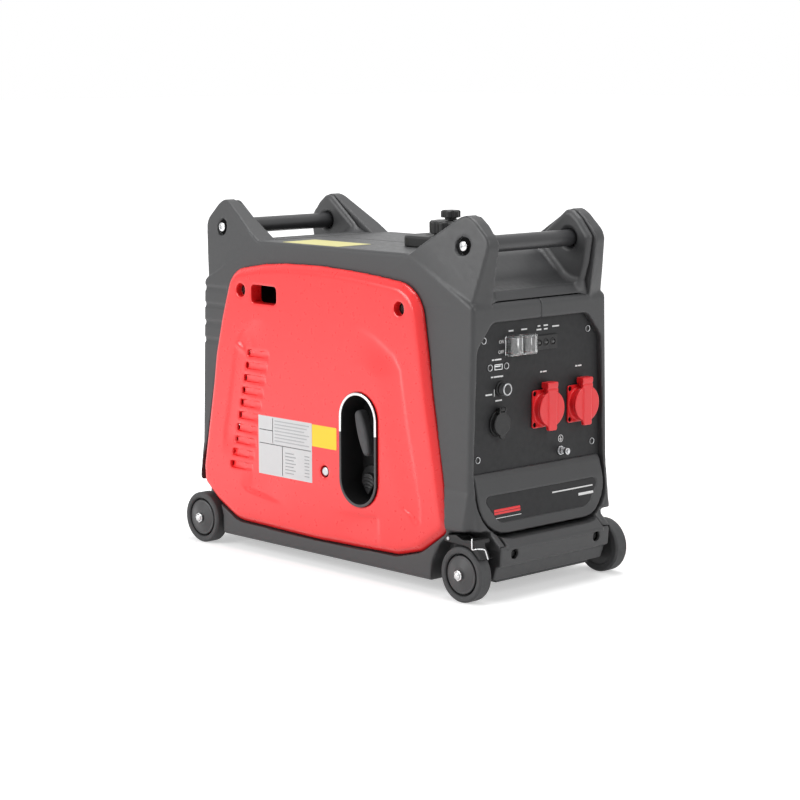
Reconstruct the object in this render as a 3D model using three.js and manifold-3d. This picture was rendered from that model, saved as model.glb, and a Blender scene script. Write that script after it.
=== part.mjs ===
// A portable inverter generator on four wheels, as an assembly of separate pieces.
//
// Frame: millimetres, +Z up, origin on the ground under the middle of the machine.
// +X points to the end that carries the control panel and -Y to the side with the recoil starter.
// The casing is two mirrored halves that meet in the plane y = 0. Everything else is named after
// the end (front is +X, rear is -X) or the side (left is -Y, right is +Y) where it sits.

import * as THREE from "three";
import { mergeVertices } from "three/addons/utils/BufferGeometryUtils.js";
import Module from "manifold-3d";

// ---------------------------------------------------------------- driving dimensions

const GAP = 0.3; // between faces that rest on each other
const PLAY = 0.5; // round a piece that turns or slides

const BODY_HALF_LENGTH = 268;
const BODY_HALF_WIDTH = 131;
const BODY_BOTTOM_Z = 18;
const EAR_TOP_Z = 493; // the highest point; the deck and the panel are measured down from it
const DECK_Z = EAR_TOP_Z - 54.5;
const DECK_HALF_LENGTH = 155; // flat top edge of a side face
const SHOULDER_Z = DECK_Z - 61.5; // where a side face's sloping shoulder reaches the end face
const SHOULDER_RISE = 18; // how much higher the shoulder runs beside the handle ears
const BODY_EDGE = 4.5; // chamfer along the edges of a side face
const CASING_WALL = 3.5;
const END_WALL = 7.7; // the end walls are deep rims that set the panel back

const EAR_OUTER_Y = BODY_HALF_WIDTH - 15.6; // at the height of the bars; the face leans inwards
const EAR_LEAN = 0.135; // sideways for every millimetre up
const EAR_SPLIT_Y = EAR_OUTER_Y - 24.4; // outer skin belongs to the casing, inner liner to the insert
const EAR_INNER_Y = EAR_OUTER_Y - 32.9;
const EAR_TOP_X = BODY_HALF_LENGTH - 30;
const EAR_END_X = BODY_HALF_LENGTH + 11;
const EAR_FOOT_X = BODY_HALF_LENGTH - 125; // where the ear grows out of the deck

const BAR_X = BODY_HALF_LENGTH - 29;
const GRIP_BAR_Z = EAR_TOP_Z - 40.5;
const GRIP_BAR_RADIUS = 11;
const GRIP_BOLT_HEAD_RADIUS = 6.5;
const GRIP_BOLT_SHANK_RADIUS = 4;
const GRIP_BOLT_WELL_RADIUS = 12;
const GRIP_BOLT_WELL_DEPTH = 4;

const TROUGH_END_X = BODY_HALF_LENGTH - 5.5; // the hand trough, from the end beam to the deck
const TROUGH_END_Z = DECK_Z - 45.5;
const TROUGH_START_X = BODY_HALF_LENGTH - 87;
const TROUGH_WALL = 3;

const WHEEL_X = BODY_HALF_LENGTH - 6.4;
const WHEEL_RADIUS = 36.2;
const TREAD_TOP_Z = 2 * WHEEL_RADIUS;
const AXLE_HALF_LENGTH = 150;
const WHEEL_OUTER_Y = AXLE_HALF_LENGTH - 8.3;
const TYRE_WIDTH = 22;
const HUB_RADIUS = 26;
const HUB_CREST = 1.5; // how far the middle of the hub stands out of the tyre's face
const AXLE_RADIUS = 5;
const AXLE_NUT_RADIUS = 6.5;
const ARCH_INNER_Y = WHEEL_OUTER_Y - 35.7; // inner wall of the wheel arches
const ARCH_TOP_Z = TREAD_TOP_Z + 18.6;
const FRONT_ARCH_X = BODY_HALF_LENGTH - 68;
const REAR_ARCH_X = BODY_HALF_LENGTH - 49;
const FENDER_OUT = 8; // flare of the casing above a wheel
const FENDER_HEIGHT = 36;

const WINDOW_TOP_Z = DECK_Z - 83.5; // the opening in the front end that shows panel and lower cover
const WINDOW_TOP_HALF = BODY_HALF_WIDTH - 35;
const WINDOW_HALF = BODY_HALF_WIDTH - 7.5;
const WINDOW_SHOULDER_Z = DECK_Z - 116.5;
const WINDOW_BOTTOM_Z = ARCH_TOP_Z - 11;
const WINDOW_BOTTOM_HALF = BODY_HALF_WIDTH - 39;
const PANEL_THICKNESS = 2.7;
const PANEL_LAP = 3; // panel hidden behind the rim
const PANEL_BOTTOM_Z = DECK_Z - 276.5;
const COVER_BULGE_X = BODY_HALF_LENGTH + 13; // how far the lower front cover leans out at its foot

const BUMPER_X = BODY_HALF_LENGTH + 30;
const FRONT_BUMPER_HALF = ARCH_INNER_Y - 2;
const REAR_BUMPER_HALF = FRONT_BUMPER_HALF - 9;
const BUMPER_TOP_Z = ARCH_TOP_Z - 20;
const BUMPER_BOTTOM_Z = 26;
const BUMPER_WALL = 4;
const LEDGE_HALF = FRONT_BUMPER_HALF - 12; // the ramp on top of a bumper
const LEDGE_Z = BUMPER_TOP_Z + 15;
const REAR_FOOT = 6; // how far the rear corners lean out above the wheels

const SIDE_COVER_Y = 138.8; // outer face of the service covers
const SIDE_COVER_BEVEL = 7;
const SIDE_COVER_WALL = 3;
const SIDE_COVER_RIM = 12; // width of the rim that lies on the casing
const COVER_SLOTS = 10;
const SLOT_LENGTH = 46;
const SLOT_HEIGHT = 9;
const SLOT_TOP_Z = DECK_Z - 154.5;
const SLOT_BOTTOM_Z = 123;
const SLOT_TOP_X = -BODY_HALF_LENGTH + 107.5;
const SLOT_BOTTOM_X = -BODY_HALF_LENGTH + 70;
const AIR_WINDOW_X = -BODY_HALF_LENGTH + 144.7;
const AIR_WINDOW_Z = DECK_Z - 72;
const AIR_WINDOW_LENGTH = 52.6;
const AIR_WINDOW_HEIGHT = 24.6;

const STARTER_X = 69; // the recess for the starter grip and the choke dial
const STARTER_Z = 174;
const STARTER_HALF_WIDTH = 32.5;
const STARTER_HALF_STRAIGHT = 41;
const STARTER_LIP = 4.2;
const STARTER_WALL = 2.5;
const STARTER_DEPTH = 39;
const GRIP_X = 66;
const GRIP_Z = 195;
const GRIP_LENGTH = 64;
const GRIP_WIDTH = 16;
const GRIP_THICKNESS = 18;
const GRIP_TILT_DEG = 18;
const ROPE_RADIUS = 2;
const DIAL_X = 62;
const DIAL_Z = 128;
const DIAL_RADIUS = 21;

const CRANK_Z = 157;
const PULLEY_RADIUS = 38;
const FILLER_X = 102;
const FILLER_HALF = 51;
const FILLER_HEIGHT = 15;
const NECK_BORE_RADIUS = 19;
const NECK_WALL = 4;
const CAP_RADIUS = 29;
const CAP_HEIGHT = 17;
const VENT_RADIUS = 13.6;
const VENT_HEIGHT = 13.5;

const ARC_STEPS = 2; // chords in a rounded corner
const ROUND_SIDES = 16; // chords in a small circle
const WHEEL_SIDES = 24;

// ---------------------------------------------------------------- solids

const wasm = await Module();
wasm.setup();

// A closed three.js geometry as a manifold-3d solid.
function toSolid(geometry) {
  const bare = new THREE.BufferGeometry();
  bare.setAttribute("position", geometry.getAttribute("position"));
  if (geometry.index) bare.setIndex(geometry.index);
  const merged = mergeVertices(bare, 1e-4);
  return new wasm.Manifold(
    new wasm.Mesh({
      numProp: 3,
      vertProperties: new Float32Array(merged.getAttribute("position").array),
      triVerts: new Uint32Array(merged.index.array),
    }),
  );
}

// A manifold-3d solid as a three.js geometry with flat faces.
function toGeometry(solid) {
  const mesh = solid.getMesh();
  const geometry = new THREE.BufferGeometry();
  geometry.setAttribute("position", new THREE.BufferAttribute(new Float32Array(mesh.vertProperties), 3));
  geometry.setIndex(new THREE.BufferAttribute(new Uint32Array(mesh.triVerts), 1));
  const flat = geometry.toNonIndexed();
  flat.computeVertexNormals();
  return flat;
}

// The two directions of an outline (u, v) drawn across an axis.
const ACROSS = {
  x: [new THREE.Vector3(0, 1, 0), new THREE.Vector3(0, 0, 1)],
  y: [new THREE.Vector3(1, 0, 0), new THREE.Vector3(0, 0, 1)],
  z: [new THREE.Vector3(1, 0, 0), new THREE.Vector3(0, 1, 0)],
};

// An outline of corners [u, v, radius], counter-clockwise, moved inwards by inset, with round corners.
function outline(corners, inset = 0, steps = ARC_STEPS) {
  const points = corners.map(([u, v]) => new THREE.Vector2(u, v));
  const count = points.length;
  const edge = (i) => points[(i + 1) % count].clone().sub(points[i % count]).normalize();
  const result = [];
  for (let i = 0; i < count; i++) {
    const before = edge(i + count - 1);
    const after = edge(i);
    const half = before.clone().add(after).normalize();
    const inward = new THREE.Vector2(-half.y, half.x);
    const cosHalf = Math.max(half.dot(after), 0.2);
    const corner = points[i].clone().addScaledVector(inward, inset / cosHalf);
    const radius = corners[i][2] ? Math.max(corners[i][2] - inset, 0.5) : 0;
    if (!radius) {
      result.push(corner);
      continue;
    }
    const turn = Math.acos(THREE.MathUtils.clamp(before.dot(after), -1, 1));
    const reach = radius * Math.tan(turn / 2);
    const side = Math.sign(before.cross(after));
    const start = corner.clone().addScaledVector(before, -reach);
    const centre = start.clone().add(new THREE.Vector2(-before.y, before.x).multiplyScalar(radius * side));
    for (let k = 0; k <= steps; k++) {
      const spoke = start.clone().sub(centre);
      result.push(spoke.rotateAround(new THREE.Vector2(), side * turn * (k / steps)).add(centre));
    }
  }
  return result;
}

// A prism over an outline, from one place to another along an axis.
function prism(axis, points, from, to) {
  const [u, v] = ACROSS[axis];
  const along = u.clone().cross(v);
  const start = along[axis] > 0 ? from : -to;
  const shape = new THREE.Shape(points);
  const geometry = new THREE.ExtrudeGeometry(shape, { depth: to - from, bevelEnabled: false });
  geometry.translate(0, 0, start);
  geometry.applyMatrix4(new THREE.Matrix4().makeBasis(u, v, along));
  return toSolid(geometry);
}

// A solid skinned over outlines with equal point counts, each at its own place along an axis.
function loft(axis, sections) {
  const [u, v] = ACROSS[axis];
  const along = u.clone().cross(v);
  const sign = Math.sign(along[axis]);
  const ordered = [...sections].sort((a, b) => (a.at - b.at) * sign);
  const count = ordered[0].points.length;
  const positions = [];
  for (const { at, points } of ordered) {
    for (const p of points) {
      const place = u.clone().multiplyScalar(p.x).addScaledVector(v, p.y).addScaledVector(along, at * sign);
      positions.push(...place.toArray());
    }
  }
  const faces = [];
  const last = (ordered.length - 1) * count;
  for (const [a, b, c] of THREE.ShapeUtils.triangulateShape(ordered[0].points, [])) faces.push(a, c, b);
  for (const [a, b, c] of THREE.ShapeUtils.triangulateShape(ordered.at(-1).points, [])) {
    faces.push(last + a, last + b, last + c);
  }
  for (let ring = 0; ring < last; ring += count) {
    for (let i = 0; i < count; i++) {
      const a = ring + i;
      const b = ring + ((i + 1) % count);
      faces.push(a, b, b + count, a, b + count, a + count);
    }
  }
  const geometry = new THREE.BufferGeometry();
  geometry.setAttribute("position", new THREE.Float32BufferAttribute(positions, 3));
  geometry.setIndex(faces);
  return toSolid(geometry);
}

function circle(radius, u = 0, v = 0, sides = ROUND_SIDES) {
  const points = [];
  for (let i = 0; i < sides; i++) {
    const angle = (2 * Math.PI * i) / sides;
    points.push(new THREE.Vector2(u + radius * Math.cos(angle), v + radius * Math.sin(angle)));
  }
  return points;
}

// The radius of a faceted hole whose flats clear a turning round of the given radius.
function clearRound(radius, sides = ROUND_SIDES) {
  return radius / Math.cos(Math.PI / sides);
}

// A round rod along an axis, centred on (u, v) across it.
function rod(axis, radius, from, to, u = 0, v = 0, sides = ROUND_SIDES) {
  return prism(axis, circle(radius, u, v, sides), from, to);
}

function block(x, y, z) {
  const geometry = new THREE.BoxGeometry(x[1] - x[0], y[1] - y[0], z[1] - z[0]);
  geometry.translate((x[0] + x[1]) / 2, (y[0] + y[1]) / 2, (z[0] + z[1]) / 2);
  return toSolid(geometry);
}

// A solid turned about an axis from a profile of [radius, place along the axis].
function spun(axis, profile, sides = ROUND_SIDES) {
  const points = profile.map(([radius, along]) => new THREE.Vector2(radius, along));
  const geometry = new THREE.LatheGeometry(points, sides);
  if (axis === "x") geometry.rotateZ(-Math.PI / 2);
  if (axis === "z") geometry.rotateX(Math.PI / 2);
  const solid = toSolid(geometry);
  if (solid.volume() > 0) return solid;
  const turned = geometry.index.array.slice().reverse();
  geometry.setIndex(new THREE.BufferAttribute(turned, 1));
  return toSolid(geometry);
}

const mirrorMatrix = {
  x: new THREE.Matrix4().makeScale(-1, 1, 1),
  y: new THREE.Matrix4().makeScale(1, -1, 1),
};

function mirrored(solid, axis) {
  const geometry = toGeometry(solid);
  geometry.applyMatrix4(mirrorMatrix[axis]);
  const positions = geometry.getAttribute("position");
  const order = [];
  for (let i = 0; i < positions.count; i += 3) order.push(i, i + 2, i + 1);
  geometry.setIndex(order);
  return toSolid(geometry);
}

function joined(...solids) {
  return solids.reduce((whole, next) => whole.add(next));
}

function cut(solid, ...tools) {
  return tools.reduce((rest, tool) => rest.subtract(tool), solid);
}

// A rounded rectangle or stadium as corners for outline().
function roundedBox(u, v, halfU, halfV, radius) {
  return [
    [u - halfU, v - halfV, radius],
    [u + halfU, v - halfV, radius],
    [u + halfU, v + halfV, radius],
    [u - halfU, v + halfV, radius],
  ];
}

// ---------------------------------------------------------------- materials and scene graph

const finishes = {
  casing: { color: 0x4a4b4d, roughness: 0.5, metalness: 0 },
  cover: { color: 0xe02a26, roughness: 0.35, metalness: 0 },
  panel: { color: 0x2c2d2f, roughness: 0.55, metalness: 0 },
  trim: { color: 0x232425, roughness: 0.5, metalness: 0 },
  rubber: { color: 0x3a3b3c, roughness: 0.85, metalness: 0 },
  socket: { color: 0xd8202a, roughness: 0.4, metalness: 0 },
  clear: { color: 0xe8eef0, roughness: 0.1, metalness: 0 },
  steel: { color: 0xc4c6c8, roughness: 0.3, metalness: 1 },
  castMetal: { color: 0x9a9c9e, roughness: 0.6, metalness: 1 },
  darkMetal: { color: 0x55575a, roughness: 0.7, metalness: 1 },
  rope: { color: 0xb8b4a8, roughness: 0.9, metalness: 0 },
};
const materials = {};
for (const [name, values] of Object.entries(finishes)) {
  materials[name] = new THREE.MeshStandardMaterial({ name, ...values });
}

const generator = new THREE.Group();
generator.name = "generator";

function addPiece(parent, name, material, solid) {
  const mesh = new THREE.Mesh(toGeometry(solid), materials[material]);
  mesh.name = name;
  parent.add(mesh);
  return mesh;
}

function addGroup(x, y, z) {
  const group = new THREE.Group();
  group.position.set(x, y, z);
  generator.add(group);
  return group;
}

// ---------------------------------------------------------------- casing

const CAVITY_END_X = BODY_HALF_LENGTH - END_WALL;
const CAVITY_HALF_WIDTH = BODY_HALF_WIDTH - CASING_WALL;
const SHOULDER_RUN = SHOULDER_RISE + DECK_HALF_LENGTH + 5; // deck's half-length beside the ears

// Side profile (x, z) of the body: a box with sloping shoulders.
function bodyCorners(endX, bottomZ, shoulderZ, deckHalf, deckZ) {
  return [
    [-endX, bottomZ, 0],
    [endX, bottomZ, 0],
    [endX, shoulderZ, 12],
    [deckHalf, deckZ, 12],
    [-deckHalf, deckZ, 12],
    [-endX, shoulderZ, 12],
  ];
}

// The two ends, each drawn as a front end: their bumpers and wheel arches differ.
const frontEnd = {
  dir: 1,
  archX: FRONT_ARCH_X,
  bumperHalf: FRONT_BUMPER_HALF,
};
const rearEnd = {
  dir: -1,
  archX: REAR_ARCH_X,
  bumperHalf: REAR_BUMPER_HALF,
};

// A solid drawn for the front end, put at its own end.
function placed(solid, end) {
  return end.dir > 0 ? solid : mirrored(solid, "x");
}

// Side profile (x, z) of a handle ear.
function earCorners() {
  return [
    [EAR_FOOT_X, DECK_Z - 2.5, 0],
    [BODY_HALF_LENGTH - 8, SHOULDER_Z + 4, 0],
    [BODY_HALF_LENGTH - 3, SHOULDER_Z + 6, 0],
    [EAR_END_X - 4, EAR_TOP_Z - 54, 12],
    [EAR_END_X, EAR_TOP_Z - 31, 10],
    [EAR_END_X - 26, EAR_TOP_Z - 4, 8],
    [EAR_TOP_X, EAR_TOP_Z, 8],
  ];
}

// The opening (y, z) in the end face that shows the panel and the lower cover.
const WINDOW_LOW_CORNER_Z = THREE.MathUtils.lerp(WINDOW_BOTTOM_Z, PANEL_BOTTOM_Z, 0.56);
const WINDOW_LOW_RADIUS = 0.366 * (PANEL_BOTTOM_Z - WINDOW_BOTTOM_Z);
const windowCorners = [
  [-WINDOW_BOTTOM_HALF, WINDOW_BOTTOM_Z, WINDOW_LOW_RADIUS],
  [WINDOW_BOTTOM_HALF, WINDOW_BOTTOM_Z, WINDOW_LOW_RADIUS],
  [WINDOW_HALF, WINDOW_LOW_CORNER_Z, WINDOW_LOW_RADIUS],
  [WINDOW_HALF, PANEL_BOTTOM_Z, 0],
  [WINDOW_HALF - 7, WINDOW_SHOULDER_Z, 14],
  [WINDOW_TOP_HALF, WINDOW_TOP_Z, 14],
  [-WINDOW_TOP_HALF, WINDOW_TOP_Z, 14],
  [-WINDOW_HALF + 7, WINDOW_SHOULDER_Z, 14],
  [-WINDOW_HALF, PANEL_BOTTOM_Z, 0],
  [-WINDOW_HALF, WINDOW_LOW_CORNER_Z, WINDOW_LOW_RADIUS],
];

// Outline (x, z) of a service cover.
const COVER_LOW_Z = BODY_BOTTOM_Z + 22;
const sideCoverCorners = [
  [-BODY_HALF_LENGTH + 84, COVER_LOW_Z + 5, 40],
  [-5, COVER_LOW_Z, 0],
  [BODY_HALF_LENGTH - 105, COVER_LOW_Z + 5, 14],
  [BODY_HALF_LENGTH - 31, ARCH_TOP_Z - 1, 26],
  [BODY_HALF_LENGTH - 65, DECK_Z - 132.5, 0],
  [BODY_HALF_LENGTH - 88, DECK_Z - 35, 24],
  [-58, DECK_Z - 25, 0],
  [-BODY_HALF_LENGTH + 72, DECK_Z - 50.5, 24],
  [-BODY_HALF_LENGTH + 25, ARCH_TOP_Z + 73, 0],
  [-BODY_HALF_LENGTH + 15, ARCH_TOP_Z - 3, 18],
];
const sideCoverScrews = [
  [-BODY_HALF_LENGTH + 96, DECK_Z - 68.9],
  [BODY_HALF_LENGTH - 122.2, DECK_Z - 70.9],
];

// Side profile (x, z) of the wheel arch of an end.
function archOutline(end, grow) {
  const near = end.archX;
  const top = ARCH_TOP_Z + grow;
  const far = BODY_HALF_LENGTH + 60;
  return [
    [near - grow, BODY_BOTTOM_Z - 10],
    [far, BODY_BOTTOM_Z - 10],
    [far, top - 30],
    [BODY_HALF_LENGTH + 14, top],
    [near + 40 - grow, top],
    [near + 10 - grow, top - 22],
  ].map(([x, z]) => new THREE.Vector2(x, z));
}

function archCutter(end, grow) {
  return prism("y", archOutline(end, grow), -BODY_HALF_WIDTH - 40, -ARCH_INNER_Y + grow);
}

// The foot of the casing beside the front bumper, a wedge that leans out to the bumper's ledge.
function frontFoot(inset) {
  const bottomZ = BUMPER_TOP_Z - 4;
  const slope = (BUMPER_X - COVER_BULGE_X) / (LEDGE_Z - BUMPER_TOP_Z);
  const corners = [
    [BODY_HALF_LENGTH - 12, PANEL_BOTTOM_Z + 8],
    [BODY_HALF_LENGTH - 12, bottomZ],
    [BUMPER_X + slope * (BUMPER_TOP_Z - bottomZ), bottomZ],
    [COVER_BULGE_X, LEDGE_Z],
    [BODY_HALF_LENGTH, PANEL_BOTTOM_Z],
  ];
  const wedge = prism("y", outline(corners, inset), -BODY_HALF_WIDTH + BODY_EDGE + inset, -LEDGE_HALF - GAP);
  return cut(wedge, block([BUMPER_X, BUMPER_X + 20], [-BODY_HALF_WIDTH, 0], [0, PANEL_BOTTOM_Z]));
}

// The foot of the casing at the rear, which leans out only as far as the arch.
function rearFoot() {
  const corners = [
    [BODY_HALF_LENGTH - 4, PANEL_BOTTOM_Z + 8],
    [BODY_HALF_LENGTH - 4, ARCH_TOP_Z - 4],
    [BODY_HALF_LENGTH + REAR_FOOT, ARCH_TOP_Z - 4],
    [BODY_HALF_LENGTH, PANEL_BOTTOM_Z],
  ];
  return prism("y", outline(corners), -BODY_HALF_WIDTH + BODY_EDGE, -LEDGE_HALF - GAP);
}

// The flare of the side face above a wheel.
function fender() {
  const face = [
    [-BODY_HALF_WIDTH + 2, ARCH_TOP_Z - 4],
    [-BODY_HALF_WIDTH + 2, ARCH_TOP_Z + FENDER_HEIGHT],
    [-BODY_HALF_WIDTH - FENDER_OUT, ARCH_TOP_Z + 2],
    [-BODY_HALF_WIDTH - FENDER_OUT, ARCH_TOP_Z - 4],
  ].map(([y, z]) => new THREE.Vector2(y, z));
  return prism("x", face.reverse(), WHEEL_X - 20, BODY_HALF_LENGTH - 2);
}

const starterHole = roundedBox(
  STARTER_X,
  STARTER_Z,
  STARTER_HALF_WIDTH + STARTER_WALL + GAP,
  STARTER_HALF_STRAIGHT + STARTER_HALF_WIDTH + STARTER_WALL + GAP,
  STARTER_HALF_WIDTH + STARTER_WALL,
);

// What lies outside the leaning face of an ear on the -Y side, moved inwards by some way.
function besideEar(inwards) {
  const faceY = (z) => -EAR_OUTER_Y + inwards + (z - GRIP_BAR_Z) * EAR_LEAN;
  const low = SHOULDER_Z - 30;
  const high = EAR_TOP_Z + 20;
  const far = -BODY_HALF_WIDTH - 40;
  const corners = [
    [far, low],
    [faceY(low), low],
    [faceY(high), high],
    [far, high],
  ].map(([y, z]) => new THREE.Vector2(y, z));
  return prism("x", corners, 0, BODY_HALF_LENGTH + 60);
}

function casingHalf() {
  const innerShoulderZ = SHOULDER_Z + SHOULDER_RISE;
  const low = outline(bodyCorners(BODY_HALF_LENGTH, BODY_BOTTOM_Z, innerShoulderZ, SHOULDER_RUN, DECK_Z));
  const side = bodyCorners(BODY_HALF_LENGTH, BODY_BOTTOM_Z, SHOULDER_Z, DECK_HALF_LENGTH, DECK_Z);
  let shell = loft("y", [
    { at: 0, points: low },
    { at: -EAR_OUTER_Y, points: low },
    { at: -BODY_HALF_WIDTH + BODY_EDGE, points: outline(side) },
    { at: -BODY_HALF_WIDTH, points: outline(side, BODY_EDGE) },
  ]);
  for (const end of [frontEnd, rearEnd]) {
    const ear = cut(prism("y", outline(earCorners()), -BODY_HALF_WIDTH, -EAR_SPLIT_Y), besideEar(0));
    const foot = end.dir > 0 ? frontFoot(0) : rearFoot();
    shell = joined(shell, placed(joined(ear, foot, fender()), end));
  }

  // The hollow, which leaves the walls of the wheel arches standing.
  const roof = DECK_Z - CASING_WALL;
  const floor = BODY_BOTTOM_Z - 28;
  const hollowLow = bodyCorners(CAVITY_END_X, floor, innerShoulderZ - CASING_WALL, SHOULDER_RUN, roof);
  const hollowSide = bodyCorners(CAVITY_END_X, floor, SHOULDER_Z - CASING_WALL, DECK_HALF_LENGTH, roof);
  let hollow = loft("y", [
    { at: 10, points: outline(hollowLow) },
    { at: -EAR_OUTER_Y + CASING_WALL, points: outline(hollowLow) },
    { at: -CAVITY_HALF_WIDTH, points: outline(hollowSide) },
  ]);
  for (const end of [frontEnd, rearEnd]) hollow = cut(hollow, placed(archCutter(end, CASING_WALL), end));
  shell = cut(shell, hollow, cut(frontFoot(CASING_WALL), archCutter(frontEnd, CASING_WALL)));

  // Each end: ear pocket, wheel arch, bumper bay, hand trough, bolt well and axle hole.
  const beyond = BUMPER_X + 20;
  for (const end of [frontEnd, rearEnd]) {
    const hollowEar = outline(earCorners(), CASING_WALL);
    const pocket = cut(prism("y", hollowEar, -BODY_HALF_WIDTH, -EAR_SPLIT_Y + 2), besideEar(CASING_WALL));
    const boss = rod("y", GRIP_BOLT_WELL_RADIUS + 3, -EAR_OUTER_Y + 1, -EAR_SPLIT_Y, BAR_X, GRIP_BAR_Z);
    const bayHalf = Math.min(LEDGE_HALF, end.bumperHalf) + GAP;
    const bay = block([CAVITY_END_X - 8, beyond], [-bayHalf, 10], [-10, LEDGE_Z + GAP]);
    const lowBay = block([CAVITY_END_X - 8, beyond], [-end.bumperHalf - GAP, 10], [-10, BUMPER_TOP_Z + GAP]);
    const troughCut = [
      [TROUGH_START_X - GAP, DECK_Z + 20],
      [TROUGH_START_X - GAP, DECK_Z - 16],
      [TROUGH_END_X + GAP, TROUGH_END_Z - 9],
      [TROUGH_END_X + GAP, DECK_Z + 20],
    ].map(([x, z]) => new THREE.Vector2(x, z));
    const trough = prism("y", troughCut, -EAR_SPLIT_Y, 10);
    const seat = -EAR_OUTER_Y + GRIP_BOLT_WELL_DEPTH;
    const well = rod("y", GRIP_BOLT_WELL_RADIUS, -EAR_OUTER_Y - 10, seat, BAR_X, GRIP_BAR_Z);
    const hole = rod("y", GRIP_BOLT_SHANK_RADIUS + GAP, seat - 1, -EAR_SPLIT_Y + 1, BAR_X, GRIP_BAR_Z);
    const axle = rod("y", AXLE_RADIUS + PLAY, -ARCH_INNER_Y - 20, -LEDGE_HALF + 18, WHEEL_X, WHEEL_RADIUS);
    const tools = [cut(pocket, boss), archCutter(end, 0), bay, lowBay, trough, well, hole, axle];
    for (const tool of tools) shell = cut(shell, placed(tool, end));
  }

  // End openings, service opening and the hole for the filler.
  const endWall = [BODY_HALF_LENGTH - 20, beyond];
  shell = cut(shell, prism("x", outline(windowCorners), ...endWall));
  shell = cut(shell, mirrored(prism("x", outline(rearOpeningCorners), ...endWall), "x"));
  const seat = prism("y", outline(sideCoverCorners, -2 * GAP), -BODY_HALF_WIDTH - 20, -BODY_HALF_WIDTH);
  const service = prism("y", outline(sideCoverCorners, SIDE_COVER_RIM), -BODY_HALF_WIDTH - 10, -CAVITY_HALF_WIDTH + 1);
  shell = cut(shell, seat, service);
  shell = cut(shell, rod("z", NECK_BORE_RADIUS + NECK_WALL + 2, DECK_Z - 20, DECK_Z + 10, FILLER_X, 0));
  const beyondSeam = block([-BUMPER_X - 20, beyond], [-GAP / 2, 20], [BODY_BOTTOM_Z - 20, EAR_TOP_Z + 20]);
  return cut(shell, beyondSeam);
}

// ---------------------------------------------------------------- pieces on the casing

const REAR_OPENING_HALF = 86;
const REAR_OPENING_LOW_Z = PANEL_BOTTOM_Z - 12;
const REAR_OPENING_HIGH_Z = WINDOW_TOP_Z - 25;
const rearOpeningCorners = roundedBox(
  0,
  (REAR_OPENING_LOW_Z + REAR_OPENING_HIGH_Z) / 2,
  REAR_OPENING_HALF,
  (REAR_OPENING_HIGH_Z - REAR_OPENING_LOW_Z) / 2,
  16,
);
const EXHAUST_Y = 46;
const EXHAUST_Z = REAR_OPENING_LOW_Z + 46;
const EXHAUST_RADIUS = 17;

// The insert under a handle bar: two ear liners joined by the hand trough.
function handleInsert(end) {
  const run = TROUGH_END_X - TROUGH_START_X;
  const fall = DECK_Z - TROUGH_END_Z;
  const top = [
    [0, 0],
    [0.18, 0.14],
    [0.4, 0.54],
    [0.62, 0.82],
    [0.82, 0.97],
    [1, 1],
  ].map(([along, down]) => [TROUGH_START_X + along * run, DECK_Z - down * fall]);
  const underside = top.map(([x, z]) => [x, z - TROUGH_WALL]).reverse();
  const section = [...top, ...underside].map(([x, z]) => new THREE.Vector2(x, z)).reverse();
  let insert = prism("y", section, -EAR_SPLIT_Y + GAP, EAR_SPLIT_Y - GAP);
  const linerCorners = [
    [EAR_FOOT_X + 10, DECK_Z + GAP, 0],
    [TROUGH_START_X, DECK_Z + GAP, 0],
    [TROUGH_START_X, DECK_Z - 12, 0],
    [TROUGH_END_X, TROUGH_END_Z - 7, 0],
    [TROUGH_END_X, TROUGH_END_Z + 4, 0],
    [EAR_END_X - 4, EAR_TOP_Z - 48, 10],
    [EAR_END_X - 3, EAR_TOP_Z - 32, 9],
    [EAR_END_X - 27, EAR_TOP_Z - 7, 7],
    [EAR_TOP_X, EAR_TOP_Z - 3, 7],
  ];
  const liner = prism("y", outline(linerCorners), -EAR_SPLIT_Y + GAP, -EAR_INNER_Y);
  const pocket = prism("y", outline(linerCorners, TROUGH_WALL), -EAR_SPLIT_Y - 1, -EAR_INNER_Y - TROUGH_WALL);
  const boss = rod("y", GRIP_BAR_RADIUS + 3, -EAR_SPLIT_Y + GAP, -EAR_INNER_Y, BAR_X, GRIP_BAR_Z);
  const hollowLiner = cut(liner, cut(pocket, boss));
  insert = joined(insert, hollowLiner, mirrored(hollowLiner, "y"));
  const bore = rod("y", GRIP_BAR_RADIUS + GAP, -EAR_SPLIT_Y, EAR_SPLIT_Y, BAR_X, GRIP_BAR_Z);
  return placed(cut(insert, bore), end);
}

function gripBar(end) {
  const half = EAR_SPLIT_Y - GAP;
  const bar = rod("y", GRIP_BAR_RADIUS, -half, half, BAR_X, GRIP_BAR_Z);
  const hole = (from, to) => rod("y", GRIP_BOLT_SHANK_RADIUS + GAP, from, to, BAR_X, GRIP_BAR_Z);
  return placed(cut(bar, hole(-half - 1, -half + 22), hole(half - 22, half + 1)), end);
}

// A handle bolt on the -Y side: a hexagon head in the well and a shank into the bar.
function gripBolt(end) {
  const seat = -EAR_OUTER_Y + GRIP_BOLT_WELL_DEPTH - GAP;
  const head = rod("y", GRIP_BOLT_HEAD_RADIUS, seat - 7, seat, BAR_X, GRIP_BAR_Z, 12);
  const shank = rod("y", GRIP_BOLT_SHANK_RADIUS, seat - 1, -EAR_SPLIT_Y + 20, BAR_X, GRIP_BAR_Z, 16);
  return placed(joined(head, shank), end);
}

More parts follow.
